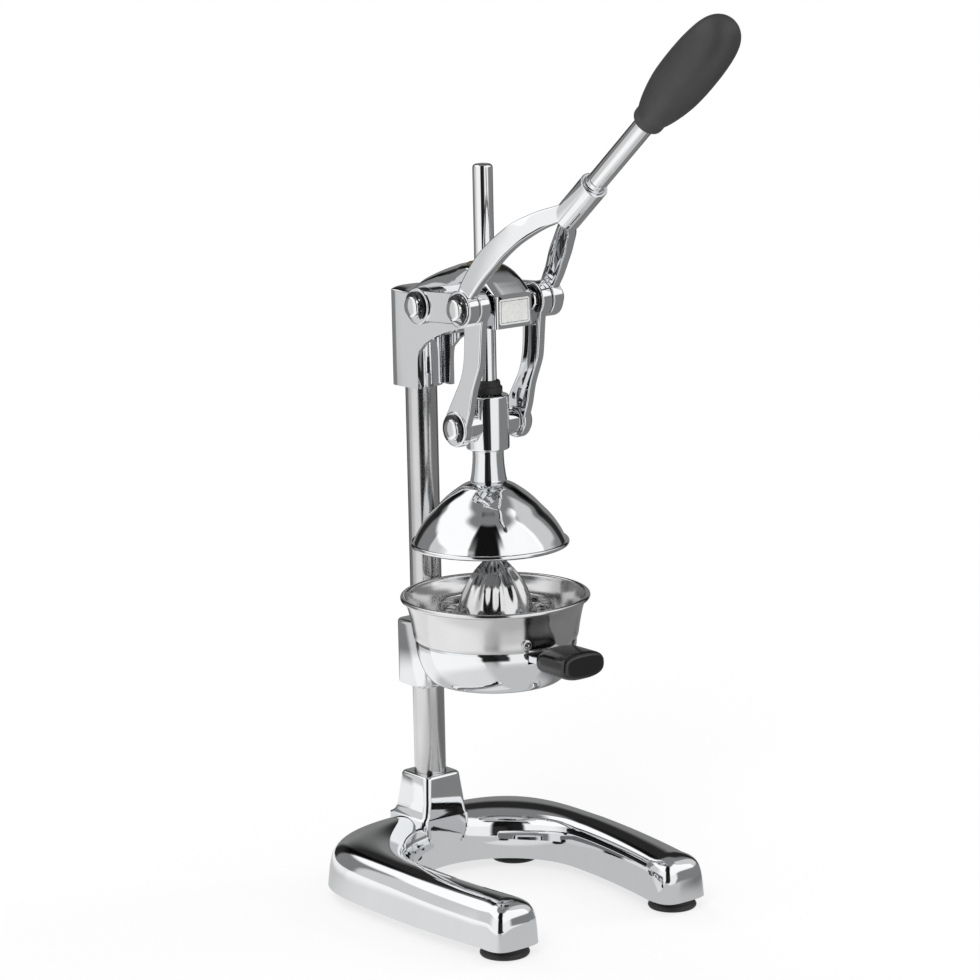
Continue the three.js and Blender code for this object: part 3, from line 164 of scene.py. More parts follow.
def lathe(name, profile, matrix=None, steps=96, smooth=32):
    """Spins a half section of (radius, height) points round Z."""
    piece = start(name, bpy.ops.mesh.primitive_plane_add, size=MM)
    bpy.ops.mesh.merge(type="CENTER")
    radius, height = profile[0]
    bpy.ops.transform.translate(value=(radius * MM, 0, height * MM))
    for (r0, z0), (r1, z1) in zip(profile, profile[1:]):
        bpy.ops.mesh.extrude_region_move(TRANSFORM_OT_translate={"value": ((r1 - r0) * MM, 0, (z1 - z0) * MM)})
    if profile[0][0] > 0 or profile[-1][0] > 0:
        mesh = bmesh.from_edit_mesh(piece.data)
        mesh.verts.ensure_lookup_table()
        ends = [v for v in mesh.verts if len(v.link_edges) == 1]
        bpy.ops.mesh.select_all(action="DESELECT")
        for end in ends:
            end.select_set(True)
        bmesh.update_edit_mesh(piece.data)
        bpy.ops.mesh.edge_face_add()
    bpy.ops.mesh.select_all(action="SELECT")
    bpy.ops.mesh.spin(steps=steps, angle=math.tau, center=(0, 0, 0), axis=(0, 0, 1))
    return leave_edit(piece, matrix or Matrix.Translation(place(0, 0, 0)), smooth)


# %% [markdown]
# A casting has no axis to spin round. Its outline at one end is filled, and that face is extruded
# again and again, each time being moved onto the next outline, which is how one would draw such a
# body by hand. Where levels are asked for, a Subdivision Surface then takes out the steps between
# the outlines.


# %% Skins, booleans and copies
def skin(name, rings, levels=0, open_top=False, smooth=32):
    """Extrudes a face from ring to ring. Rings are lists of equal length, in metres.
    With open_top the last face goes, because its ring closes up into a line."""
    piece = start(name, bpy.ops.mesh.primitive_circle_add, vertices=len(rings[0]), radius=MM, fill_type="NGON")
    mesh = bmesh.from_edit_mesh(piece.data)
    for corner, spot in zip(mesh.faces[:][0].verts, rings[0]):
        corner.co = spot
    for ring in rings[1:]:
        bpy.ops.mesh.extrude_region_move()
        mesh = bmesh.from_edit_mesh(piece.data)
        cap = next(face for face in mesh.faces if face.select)
        for corner, spot in zip(cap.verts, ring):
            corner.co = spot
    bmesh.update_edit_mesh(piece.data)
    if open_top:
        bpy.ops.mesh.delete(type="ONLY_FACE")
    leave_edit(piece, None, smooth)
    if levels:
        subdivide(piece, levels, smooth)
    return piece


def apply_modifier(piece, kind, **settings):
    bpy.ops.object.select_all(action="DESELECT")
    piece.select_set(True)
    bpy.context.view_layer.objects.active = piece
    bpy.ops.object.modifier_add(type=kind)
    modifier = piece.modifiers[-1]
    for key, value in settings.items():
        setattr(modifier, key, value)
    bpy.ops.object.modifier_apply(modifier=modifier.name)


def subdivide(piece, levels, smooth=32):
    apply_modifier(piece, "SUBSURF", levels=levels, render_levels=levels)
    bpy.ops.object.shade_smooth_by_angle(angle=math.radians(smooth))


def combine(piece, operation, *tools, smooth=32):
    """Booleans piece with each tool in turn and deletes the tool."""
    for tool in tools:
        apply_modifier(piece, "BOOLEAN", operation=operation, object=tool, solver="EXACT")
        bpy.data.objects.remove(tool)
    bpy.ops.object.shade_smooth_by_angle(angle=math.radians(smooth))
    return piece


def round_edges(piece, width, segments=3, angle=38):
    """A small radius on every real edge, with flat faces kept flat in their shading."""
    apply_modifier(piece, "BEVEL", width=width * MM, segments=segments, limit_method="ANGLE",
                   angle_limit=math.radians(angle), miter_outer="MITER_ARC", use_clamp_overlap=True)
    bpy.ops.object.shade_smooth_by_angle(angle=math.radians(50))
    apply_modifier(piece, "WEIGHTED_NORMAL", keep_sharp=True)
    return piece


def mirrored(piece, name):
    """The same piece on the other side of the middle plane, with its own mesh."""
    copy = piece.copy()
    copy.data = piece.data.copy()
    copy.name = name
    copy.data.transform(Matrix.Scale(-1, 4, (1, 0, 0)))
    copy.data.flip_normals()
    bpy.context.collection.objects.link(copy)
    return copy


def across_x(y, z, x=0):
    """Lays a turned piece's axis along X, at millimetre place (x, y, z)."""
    return Matrix.Translation(place(x, y, z)) @ Matrix.Rotation(math.pi / 2, 4, "Y")


def rod(name, radius, low, high, matrix=None, edge=0.0, steps=48):
    """A plain turned bar or cutter."""
    outline = [(0, low), (radius, low), (radius, high), (0, high)]
    if edge:
        outline = softened(outline, edge, closed=False)
    return lathe(name, outline, matrix, steps)


def slab(name, outline, low, high, smooth=32):
    """An outline of [y, z] points filled and extruded between two X places."""
    return skin(name, [[place(x, y, z) for y, z in outline] for x in (low, high)], smooth=smooth)


def box_tool(name, x, y, z):
    return slab(name, [(y[0], z[0]), (y[1], z[0]), (y[1], z[1]), (y[0], z[1])], x[0], x[1])


# %% [markdown]
# ## Finishes
# Shader maths reads best as arithmetic, so a small class wraps a socket and turns plus, minus and
# times into Math nodes. Patterns use Object coordinates: every piece keeps its origin at the
# frame's, so a scratch stays where it was made when a joint moves.


# %% Sockets as numbers
class Wave:
    """A shader socket that can be added, subtracted and multiplied."""

    def __init__(self, finish, socket):
        self.finish, self.socket = finish, socket

    def math(self, operation, *values):
        return self.finish.node("ShaderNodeMath", {"operation": operation}, dict(enumerate(values)))

    def __add__(self, other):
        return self.math("ADD", self, other)

    def __sub__(self, other):
        return self.math("SUBTRACT", self, other)

    def __rsub__(self, other):
        return self.math("SUBTRACT", other, self)

    def __mul__(self, other):
        return self.math("MULTIPLY", self, other)

    __radd__, __rmul__ = __add__, __mul__

    def band(self, low, high):
        """0 below low, 1 above high, smooth between."""
        return self.finish.node("ShaderNodeMapRange", {"interpolation_type": "SMOOTHSTEP"},
                                {"Value": self, "From Min": low, "From Max": high})


class Finish:
    """A material, built node by node."""

    def __init__(self, name, **constants):
        self.material = bpy.data.materials.new(name)
        self.material.use_nodes = True
        self.tree = self.material.node_tree
        self.shader = self.tree.nodes["Principled BSDF"]
        for key, value in constants.items():
            self.shader.inputs[key.replace("_", " ")].default_value = value

    def node(self, kind, settings=None, inputs=None, output=0):
        new = self.tree.nodes.new(kind)
        for key, value in (settings or {}).items():
            setattr(new, key, value)
        for key, value in (inputs or {}).items():
            if isinstance(value, Wave):
                self.tree.links.new(value.socket, new.inputs[key])
            else:
                new.inputs[key].default_value = value
        return Wave(self, new.outputs[output])

    def spots(self, stretch=(1, 1, 1), **noise):
        """Noise on Object coordinates, stretched along the axes."""
        coordinates = self.node("ShaderNodeTexCoord", output="Object")
        mapped = self.node("ShaderNodeMapping", None, {"Vector": coordinates, "Scale": stretch})
        return self.node("ShaderNodeTexNoise", None, {"Vector": mapped, **noise})

    def feed(self, **waves):
        for key, wave in waves.items():
            self.tree.links.new(wave.socket, self.shader.inputs[key.replace("_", " ")])

    def shade(self, mask, dark, light):
        """A colour between two, led by a mask."""
        mixed = self.node("ShaderNodeMix", {"data_type": "RGBA"}, {"Factor": mask}, output=2)
        node = mixed.socket.node
        node.inputs[6].default_value = (*dark, 1)
        node.inputs[7].default_value = (*light, 1)
        return mixed

    def bump(self, height, distance, strength=1.0):
        self.feed(Normal=self.node("ShaderNodeBump", None, {
            "Height": height, "Distance": distance, "Strength": strength}))


# %% [markdown]
# Chrome plate is a mirror with three flaws: it is a touch warm or cold in tone, its polish is
# broken by wipe marks, and the casting under it is never quite flat, so reflections wander.


# %% Chrome on castings and on turned bar
def chrome(name, tone, ripple, haze):
    finish = Finish(name, Metallic=1.0, Roughness=0.05)
    wipes = finish.spots((1, 1, 0.35), Scale=38.0, Detail=4.0, Roughness=0.62)
    dust = finish.spots(Scale=900.0, Detail=2.0)
    clean = wipes.band(0.42, 0.72)
    finish.feed(Base_Color=finish.shade(clean, [c * 0.975 for c in tone], tone),
                Roughness=haze + haze * 0.9 * clean + 0.03 * dust.band(0.6, 0.85))
    waves = finish.spots(Scale=24.0, Detail=1.0)
    finish.bump(waves + 0.01 * dust, ripple * MM)
    return finish.material


CAST_CHROME = chrome("cast_chrome", (0.83, 0.84, 0.855), 0.12, 0.028)
BAR_CHROME = chrome("bar_chrome", (0.85, 0.855, 0.865), 0.03, 0.03)

# %% [markdown]
# The bowl, strainer and column are stainless steel. A pad that went round the spinning sheet left
# fine rings, which is noise squeezed hard along Z and drawn long across it.


# %% Stainless steel with turning marks
def spun_steel(name, tone, haze, marks):
    finish = Finish(name, Metallic=1.0)
    rings = finish.spots((4, 4, 900), Scale=3.0, Detail=3.0, Roughness=0.7)
    broad = finish.spots((6, 6, 60), Scale=4.0, Detail=2.0)
    cloud = finish.spots(Scale=30.0, Detail=3.0)
    finish.feed(Base_Color=finish.shade(cloud.band(0.3, 0.7), [c * 0.93 for c in tone], tone),
                Roughness=haze + haze * 0.55 * rings + haze * 0.4 * cloud.band(0.35, 0.75))
    finish.bump(rings + 0.6 * broad, marks * MM)
    return finish.material


BOWL_STEEL = spun_steel("spun_steel", (0.72, 0.72, 0.725), 0.10, 0.008)
COLUMN_STEEL = spun_steel("column_steel", (0.64, 0.64, 0.645), 0.12, 0.006)

# %% [markdown]
# Small hardware is duller: zinc-plated screws, dark spring clips and bronze bushes. Each one is a
# metal whose tone and polish change a little from place to place.


# %% Screws, clips and bushes
def hardware(name, dark, light, haze, grain, metal=1.0):
    finish = Finish(name, Metallic=metal)
    patches = finish.spots(Scale=260.0, Detail=5.0, Roughness=0.6)
    finish.feed(Base_Color=finish.shade(patches.band(0.35, 0.65), dark, light), Roughness=haze + 0.18 * patches)
    finish.bump(patches, grain * MM)
    return finish.material


BADGE_SILVER = hardware("badge_silver", (0.80, 0.80, 0.79), (0.86, 0.86, 0.85), 0.3, 0.004, 0.25)
SCREW_STEEL = hardware("screw_steel", (0.5, 0.5, 0.5), (0.66, 0.66, 0.65), 0.2, 0.02)
CLIP_STEEL = hardware("clip_steel", (0.045, 0.045, 0.048), (0.10, 0.10, 0.104), 0.16, 0.01)
BRONZE = hardware("bush_bronze", (0.36, 0.25, 0.13), (0.5, 0.36, 0.2), 0.32, 0.02)


# %% [markdown]
# The soft parts are black rubber feet, a charcoal grip with a fine moulded grain, and a glossy
# black handle. Grain is a bump, because it is far finer than anything worth modelling.


# %% Rubber, grip and handle
def moulded(name, dark, light, roughness, grain_scale, grain, **constants):
    finish = Finish(name, **constants)
    grain_noise = finish.spots(Scale=grain_scale, Detail=2.0, Roughness=0.5)
    cloud = finish.spots(Scale=35.0, Detail=4.0)
    finish.feed(Base_Color=finish.shade(cloud.band(0.3, 0.7) * 0.6 + grain_noise * 0.4, dark, light),
                Roughness=roughness + 0.12 * cloud - 0.08 * grain_noise)
    finish.bump(grain_noise + 0.2 * cloud, grain * MM)
    return finish.material


RUBBER = moulded("black_rubber", (0.010, 0.010, 0.011), (0.022, 0.022, 0.023), 0.5, 900.0, 0.05)
GRIP = moulded("charcoal_grip", (0.030, 0.030, 0.032), (0.044, 0.044, 0.046), 0.46, 1500.0, 0.06)
HANDLE = moulded("black_handle", (0.003, 0.003, 0.004), (0.006, 0.006, 0.007), 0.16, 500.0, 0.012,
                 Coat_Weight=0.3, Coat_Roughness=0.06)


# %% [markdown]
# One call then gives a piece its finish and the body that carries it, and hides the nodes it stands
# for.


# %% Handing a piece over to the frame
def settle(piece, material, body, slot, *nodes):
    piece.data.materials.clear()
    piece.data.materials.append(material)
    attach(piece, body)
    if nodes:
        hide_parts(*nodes)
    print(f"{piece.name}: {len(piece.data.polygons)} faces, rides on {body}")


def keep_node(name, material):
    """A CAD node whose shape is right keeps its mesh and gets this finish."""
    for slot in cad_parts[name].material_slots:
        slot.material = material


# %% [markdown]
# ## Base
# One casting shaped like a horseshoe, open at the front so that a tumbler can stand between its
# legs. The same half-round section runs from nose to nose, so the shape is a skin through many
# copies of that section. It is hollow below, and a square socket for the column grows out of it.

# %% Base section and its path
UNDERSIDE = 7.3
BASE_WIDE, BASE_FRONT_WIDE, BASE_REAR, BASE_FRONT = 95, 88.5, 93, 112
MOUTH, MOUTH_FRONT, MOUTH_Y = 60, 51, 8
CREST_FRONT, CREST_REAR = 36.5, 41
NOSE_POWER, CORNER_POWER = 3.8, 4.2
SECTION = [(0, 0), (0.003, 0.04), (0.014, 0.21), (0.03, 0.43), (0.066, 0.665), (0.13, 0.82), (0.23, 0.925), (0.36, 0.98),
           (0.5, 1), (0.62, 0.993), (0.74, 0.957), (0.84, 0.9), (0.91, 0.81), (0.955, 0.68), (0.982, 0.42), (0.995, 0.1), (1, 0)]
HOLLOW = [(0, 0), (0.03, 0.4), (0.08, 0.66), (0.22, 0.88), (0.5, 1), (0.78, 0.92), (0.92, 0.74), (0.97, 0.45), (1, 0)]


def stations(legs, turns):
    """Pairs of outer and inner points from the left leg's front to the middle of the rear, with the crest's height."""
    pairs = []
    half = (BASE_FRONT_WIDE - MOUTH_FRONT) / 2
    for step in range(legs + 1):
        share = step / legs
        y = blend(half - BASE_FRONT, -MOUTH_Y, share)
        bow = math.sin(share * math.pi / 2) ** 0.9
        pairs.append(((-blend(BASE_FRONT_WIDE, BASE_WIDE, bow), y), (-blend(MOUTH_FRONT, MOUTH, bow), y),
                      blend(CREST_FRONT, CREST_REAR, share / 2)))
    for step in range(1, turns + 1):
        share = step / turns
        share = share * share * (3 - 2 * share)
        angle = share * math.pi / 2
        wide, deep = max(math.cos(angle), 0) ** (2 / CORNER_POWER), math.sin(angle) ** (2 / CORNER_POWER)
        pairs.append(((-BASE_WIDE * wide, (BASE_REAR + MOUTH_Y) * deep - MOUTH_Y),
                      (-MOUTH * math.cos(angle), MOUTH * math.sin(angle) - MOUTH_Y),
                      blend(CREST_FRONT, CREST_REAR, (1 + share) / 2)))
    return pairs


def horseshoe(name, inset, floor, section, levels, legs, turns, fan):
    """Nested outlines, each one higher and further in, until they meet in the line of the crest."""
    line = flowing([Vector(p) for p in section], 2 * levels)
    pairs = stations(legs, turns)
    half = (BASE_FRONT_WIDE - MOUTH_FRONT) / 2
    focus = Vector((-BASE_FRONT_WIDE + half, half - BASE_FRONT))
    path = [(Vector(i), (Vector(o) + Vector(i)) / 2, crest, 1) for o, i, crest in pairs[::-1]]
    for step in range(1, fan):
        angle = step / fan * math.pi
        across = math.copysign(abs(math.cos(angle)) ** (2 / NOSE_POWER), math.cos(angle))
        tip = focus + half * Vector((across, -math.sin(angle) ** (2 / NOSE_POWER)))
        path.append((tip, focus, CREST_FRONT, 1 - step / fan))
    path += [(Vector(o), (Vector(o) + Vector(i)) / 2, crest, 0) for o, i, crest in pairs]
    rings = []
    for level in range(levels + 1):
        outer, inner = line[level], line[-1 - level]
        ring = []
        for point, target, crest, side in path:
            inward = blend(inset / half, 1, 2 * blend(outer.x, 1 - inner.x, side))
            ring.append((*point.lerp(target, inward), blend(floor, crest - inset, blend(outer.y, inner.y, side))))
        ring += [(-x, y, z) for x, y, z in ring[-2:0:-1]]
        rings.append([place(*p) for p in ring])
    return skin(name, rings, open_top=True)


base = horseshoe("horseshoe_base", 0, UNDERSIDE, SECTION, 32, 14, 28, 28)
hollow = horseshoe("base_hollow", 4, UNDERSIDE - 3, HOLLOW, 8, 6, 12, 10)
print("base skin", len(base.data.polygons), "faces")


# %% Column socket with a flared foot
def rounded_square(half, corner, z, centre_y=0, steps=6):
    ring = []
    for quarter in range(4):
        for step in range(steps + 1):
            angle = (quarter + step / steps) * math.pi / 2
            middle = (quarter + 0.5) * math.pi / 2
            x = (half - corner) * math.copysign(1, math.cos(middle)) + corner * math.cos(angle)
            y = (half - corner) * math.copysign(1, math.sin(middle)) + corner * math.sin(angle)
            ring.append(place(x, y + centre_y, z))
    return ring


COLUMN_Y = 69.2
SOCKET = [(18, 19.8), (40.6, 19.8), (41.2, 19.3), (42.2, 18.5), (43.8, 17.8), (46.5, 17.3), (52, 16.6), (60, 15.7),
          (67, 14.95), (68.6, 14.65), (69.5, 14.1), (69.9, 13.4), (70, 12.6)]
socket = skin("column_socket", [rounded_square(half, 4.2 if half > 14 else half * 0.29, z, COLUMN_Y + max(half - 16.6 - 0.05 * (52 - max(z, 40)), 0))
                                for z, half in SOCKET], smooth=40)
column_place = Matrix.Translation(place(0, COLUMN_Y, 0))
FEET = [(x * side, y) for side in (-1, 1) for x, y in ((70, -95), (59, 54))]
combine(base, "DIFFERENCE", hollow)
combine(base, "UNION", socket, *[rod(f"foot_boss_{i}", 9, UNDERSIDE, 33, Matrix.Translation(place(x, y, 0)))
                                 for i, (x, y) in enumerate(FEET)])
combine(base, "DIFFERENCE", rod("column_bore", 10.8, 22, 80, column_place, steps=72), smooth=40)
settle(base, CAST_CHROME, "stand", "chrome_casting", "base_casting")

# %% [markdown]
# ## Feet and column
# Each foot is a moulded rubber disc whose skirt spreads where it meets the table. It is screwed up
# into a boss of the base, so its middle is recessed. The column is a ground and polished bar.

# %% Feet and column
FOOT = softened([(2.5, 3.6), (5.6, 3.6), (5.6, 0), (15.2, 0), (16, 1.4), (15.1, 3.2), (13.6, 4.4), (12.7, 7), (2.5, 7)], 0.6)
for index, (x, y) in enumerate(FEET):
    foot = lathe(f"rubber_foot_{index + 1}", FOOT, Matrix.Translation(place(x, y, 0)), steps=72)
    settle(foot, RUBBER, "stand", "black_rubber", f"foot_{index + 1}")
column = rod("column_bar", 10.5, 22.3, 389, column_place, edge=1.0, steps=96)
settle(column, COLUMN_STEEL, "stand", "polished_steel", "column")

# %% [markdown]
# ## Dish and its sleeve
# The dish that carries the juice bowl is cast in one with a sleeve that grips the column. A web
# swells out of the sleeve and runs under the dish. The dish is turned, the sleeve is a skin of
# rounded squares, the web a skin of ovals, and a boolean melts them into one casting.

# %% Dish, sleeve and web
DISH_Y = -4.4
dish_place = Matrix.Translation(place(0, DISH_Y, 0))
DISH_SIDE = [(39, 148), (43.6, 150), (47.5, 155.2), (50.6, 163.1), (52.1, 170.3), (52.5, 175.6)]
side = [tuple(p) for p in flowing([Vector(p) for p in [(14, 148), (30, 147.6), *DISH_SIDE]], 40)]
inner = [(r - 3, z + 3) for r, z in side[::-1] if r > 17 and z < 173]
DISH = [(14, 148), *side[1:], (52.3, 176.6), (51.8, 177), (50.2, 177), (49.6, 176.5), *inner, (14, 151)]
dish = lathe("bowl_carrier", DISH, dish_place, steps=120)
sleeve = skin("carrier_sleeve", [rounded_square(half, corner, z, COLUMN_Y) for z, half, corner in
                                 ((131, 14, 5.4), (131.3, 15, 6.3), (132.2, 15.6, 6.8), (133.4, 15.8, 7), (172.6, 15.8, 7),
                                  (173.8, 15.6, 6.8), (174.7, 15, 6.3), (175, 14, 5.4))], smooth=40)


def oval(y, wide, low, high, power=2.6, count=40):
    ring = []
    for step in range(count):
        angle = step / count * math.tau
        x = math.copysign(abs(math.cos(angle)) ** (2 / power), math.cos(angle)) * wide
        z = (low + high) / 2 + math.copysign(abs(math.sin(angle)) ** (2 / power), math.sin(angle)) * (high - low) / 2
        ring.append(place(x, y, z))
    return ring


web = skin("carrier_web", [oval(y, wide, low, high) for y, wide, low, high in (
    (66, 13.5, 132.5, 174), (56, 13.3, 132.7, 174), (51, 12.2, 134, 174.2), (46, 11, 137, 174.4), (40, 10.2, 141.5, 174.4),
    (33, 9.6, 146, 174.2), (24, 9, 148.6, 174))], levels=1)
combine(dish, "UNION", sleeve, web)
bowl_room = lathe("bowl_room", [(0, 151), (36, 151), *inner[::-1][1:], (49.5, 185), (0, 185)], dish_place, steps=120)
notch = box_tool("tab_notch", (-14.3, 14.3), (DISH_Y - 60, DISH_Y - 46), (169, 182))
combine(dish, "DIFFERENCE", bowl_room, notch, rod("sleeve_bore", 10.8, 125, 180, column_place, steps=72),
        rod("dish_outlet", 14, 140, 156, dish_place, steps=72), smooth=36)
settle(dish, CAST_CHROME, "stand", "chrome_casting", "bowl_bracket")

# %% [markdown]
# ## Juice bowl, strainer and cone
# The bowl is pressed from sheet: a rolled rim, a wall that leans out, a shoulder that rests on the
# dish, a shallow well and a spout. Its outline therefore runs down the outside and back up the
# inside at one sheet's thickness. One round rivet head sits low on the wall beside the handle.

# %% Juice bowl
RIM_R, RIM_Z, BEAD = 59.9, 203.3, 1.7
WALL = flowing([Vector(p) for p in ((53.3, 177.3), (53.8, 179.6), (54.6, 185), (56.6, 195), (58.9, 202))], 16)
bead = [(RIM_R + BEAD * math.cos(a), RIM_Z + BEAD * math.sin(a)) for a in
        [blend(-math.pi / 2, math.pi, step / 20) for step in range(21)]]
outside = [(9.5, 149), (9.5, 160.3), *[tuple(p) for p in flowing([Vector(p) for p in ((11, 161.4), (24, 164.4), (40, 167.6), (46.2, 169.3))], 10)],
           (48.2, 170.4), (48.6, 172), (48.6, 177.3)]
inside = [(8.3, 149), (8.3, 161), *[tuple(p) for p in flowing([Vector(p) for p in ((10.4, 162.6), (24, 165.7), (40, 168.8), (45.6, 170.4))], 10)],
          (47.1, 171.5), (47.4, 173), (47.4, 178.5), (51.9, 178.5)]
wall_in = [(p[0] - 1.2, p[1] + 0.35) for p in WALL if p[1] > 178.5]
BOWL = softened(outside[:3], 0.6, closed=False)[:-1] + outside[3:] + [tuple(p) for p in WALL] + bead + \
    wall_in[::-1] + inside[::-1]
bowl = lathe("sheet_bowl", BOWL, dish_place, steps=144)
rivet_out = Vector((-0.302, -0.94, -0.16))
rivet_place = Matrix.Translation(place(-16.6, -56.1, 182.4)) @ rivet_out.to_track_quat("Z", "Y").to_matrix().to_4x4()
combine(bowl, "UNION", lathe("bowl_rivet", [(0, -0.8), (3.4, -0.8), (3.4, 0.3), *[(3.4 - 1.3 * (1 - math.cos(a)), 0.3 + 0.7 * math.sin(a)) for a in
        [step / 6 * math.pi / 2 for step in range(1, 7)]], (1.5, 1.0), (1.2, 0.7), (0, 0.6)], rivet_place, steps=48))
settle(bowl, BOWL_STEEL, "stand", "polished_steel", "juice_bowl")

# %% Strainer with a ring of slots
STRAINER = softened([(20, 190.8), (36.4, 190.8), (39.5, 179.1), (50.2, 179.1), (50.2, 180.3), (40.7, 180.3), (38.2, 196.8),
                     (37.6, 198), (36.4, 198), (35.8, 196.8), (35.8, 192), (20, 192)], 0.5, steps=3)
strainer = lathe("slotted_strainer", STRAINER, dish_place, steps=144)
SLOTS = 24
cutter = box_tool("slot_cutter", (-1.3, 1.3), (28.4, 34.4), (185, 196))
cutter.data.transform(Matrix.Translation(-place(0, 0, 0)))
slots = [cutter]
for index in range(1, SLOTS):
    slot = cutter.copy()
    slot.data = cutter.data.copy()
    slot.data.transform(Matrix.Rotation(index / SLOTS * math.tau, 4, "Z"))
    bpy.context.collection.objects.link(slot)
    slots.append(slot)
bpy.ops.object.select_all(action="DESELECT")
for slot in slots:
    slot.select_set(True)
bpy.context.view_layer.objects.active = cutter
bpy.ops.object.join()
cutter.data.transform(dish_place)
combine(strainer, "DIFFERENCE", cutter)
settle(strainer, BOWL_STEEL, "stand", "polished_steel", "strainer")

# %% Ribbed pressing cone
RIBS, PER_RIB = 12, 8
CONE_FOOT = 192.3
cone_side = flowing([Vector(p) for p in ((24.5, 2.5, 0), (23.9, 6.8, 1.2), (22, 13.2, 2.2), (18.6, 20.3, 2.2), (14.2, 26.6, 2),
                                         (9.1, 32.3, 1.3), (4.7, 36.2, 0.4), (1.8, 37.8, 0), (0.4, 38, 0))], 26)
levels = [(19.7, -3.6, 0), (19.7, 0, 0), (26.4, 0, 0), (27, 0.5, 0), (27, 1.6, 0), (26.4, 2.3, 0), (25.4, 2.5, 0)]
rings = []
for radius, height, depth in levels + [tuple(p) for p in cone_side]:
    ring = []
    for step in range(RIBS * PER_RIB):
        angle = step / (RIBS * PER_RIB) * math.tau
        wave = radius - max(depth, 0) * (0.5 - 0.5 * math.cos(RIBS * angle)) ** 0.8
        ring.append(place(wave * math.cos(angle), wave * math.sin(angle) + DISH_Y, CONE_FOOT + height))
    rings.append(ring)
cone = skin("ribbed_cone", rings, smooth=40)
settle(cone, BOWL_STEEL, "stand", "polished_steel", "pressing_cone")

# %% [markdown]
# ## Bowl handle
# A flat steel tab runs out below the bowl's shoulder, and a black handle is moulded round its end.
# Seen from the front the handle is an oval slab, seen from above a block with a flat end, so it is
# a skin of ovals whose last few shrink quickly to round the edge.

# %% Tab and handle
tab = skin("handle_strap", [[place(x, y + DISH_Y, z) for x, y in ((-14, -48.5), (-14, -74), (-11, -77), (11, -77), (14, -74), (14, -48.5),
                                                                  (9, -49.2), (4, -49.5), (0, -49.6), (-4, -49.5), (-9, -49.2))]
                            for z in (170.5, 175)])
round_edges(tab, 0.5)
settle(tab, BAR_CHROME, "stand", "polished_steel", "handle_tab")

HANDLE_WIDE, HANDLE_THICK, HANDLE_START, HANDLE_LONG = 34.8, 17.4, 58.4, 31
HANDLE_ENDS = [(0, 6.5), (0.15, 4.6), (0.7, 3), (1.6, 1.8), (3.2, 0.8), (5.5, 0.2), (9, 0), (26.5, 0), (28.6, 0.25),
               (29.9, 0.9), (30.6, 1.7), (30.95, 2.8), (31, 5)]


def handle_ring(along, inset, count=72, power=2.7):
    half_wide, half_thick = HANDLE_WIDE / 2 - inset, HANDLE_THICK / 2 - inset
    ring = []
    for step in range(count):
        angle = step / count * math.tau
        x = math.copysign(abs(math.cos(angle)) ** (2 / power), math.cos(angle)) * half_wide
        z = math.copysign(abs(math.sin(angle)) ** (2 / power), math.sin(angle)) * half_thick
        ring.append(place(x, DISH_Y - HANDLE_START - along, 172.75 + z))
    return ring


handle = skin("moulded_handle", [handle_ring(*end) for end in HANDLE_ENDS], smooth=50)
combine(handle, "DIFFERENCE", box_tool("strap_room", (-14.3, 14.3), (DISH_Y - 77, DISH_Y - 50), (170.2, 175.3)), smooth=40)
settle(handle, HANDLE, "stand", "black_handle", "bowl_handle")

# %% [markdown]
# ## Ram
# The rod slides in the head. A crosshead with a stub on each side is pinned to it, a rubber ring
# softens the upper stop, and a neck and a thin dome hang below. All but the stubs are turned.

# %% Rod, bumper, neck and press cup
ram_rod = lathe("ram_bar", softened([(0, 279.5), (6.5, 279.5), (6.5, 482.6), (0, 483.4)], 2.4, steps=8, closed=False), steps=72)
settle(ram_rod, BAR_CHROME, "ram", "chrome_rod", "ram_rod")
bumper = lathe("rubber_bumper", softened([(6.8, 335.3), (9.2, 335.3), (10, 336.2), (10, 339.8), (8.8, 341), (8.6, 343.4),
                                          (7.8, 344.3), (6.8, 344.3)], 0.5), steps=72)
settle(bumper, RUBBER, "ram", "black_rubber", "bumper")
neck_side = flowing([Vector(p) for p in ((11.9, 279.3), (11.55, 280.6), (11.15, 283), (10.7, 286.5), (10.3, 290.5), (10.1, 295), (10.1, 298.4))], 16)
neck = lathe("cup_collar", [(6.8, 279.3), *[tuple(p) for p in neck_side], (9.7, 299.1), (9.2, 299.2), (6.8, 299.2)], steps=96)
settle(neck, CAST_CHROME, "ram", "chrome_casting", "cup_neck")

DOME = flowing([Vector((12 + 38.6 * out, 236.5 + 42.5 * rise)) for out, rise in (
    (0.97, 0.07), (0.902, 0.2), (0.807, 0.341), (0.695, 0.47), (0.573, 0.585), (0.464, 0.69), (0.353, 0.78), (0.237, 0.86),
    (0.12, 0.93), (0, 0.975))], 60)
dome = [tuple(p) for p in DOME]
bead = [(49.75 + 1.7 * math.cos(a), 238.2 + 1.7 * math.sin(a)) for a in
        [blend(-math.pi * 0.9, math.pi * 0.4, step / 20) for step in range(21)]]
under = []
for index, (radius, height) in enumerate(dome):
    before, after = dome[max(index - 1, 0)], dome[min(index + 1, len(dome) - 1)]
    run = Vector(after) - Vector(before)
    run.normalize()
    under.append((radius + run.y * -1.6, height + run.x * 1.6))
CUP = bead + dome + [(11, 279), (4.3, 279), (4.3, 277.4), (11.2, 277.2)] + under[::-1][1:]
cup = lathe("press_dome", CUP, steps=144, smooth=40)
settle(cup, CAST_CHROME, "ram", "chrome_casting", "press_cup")

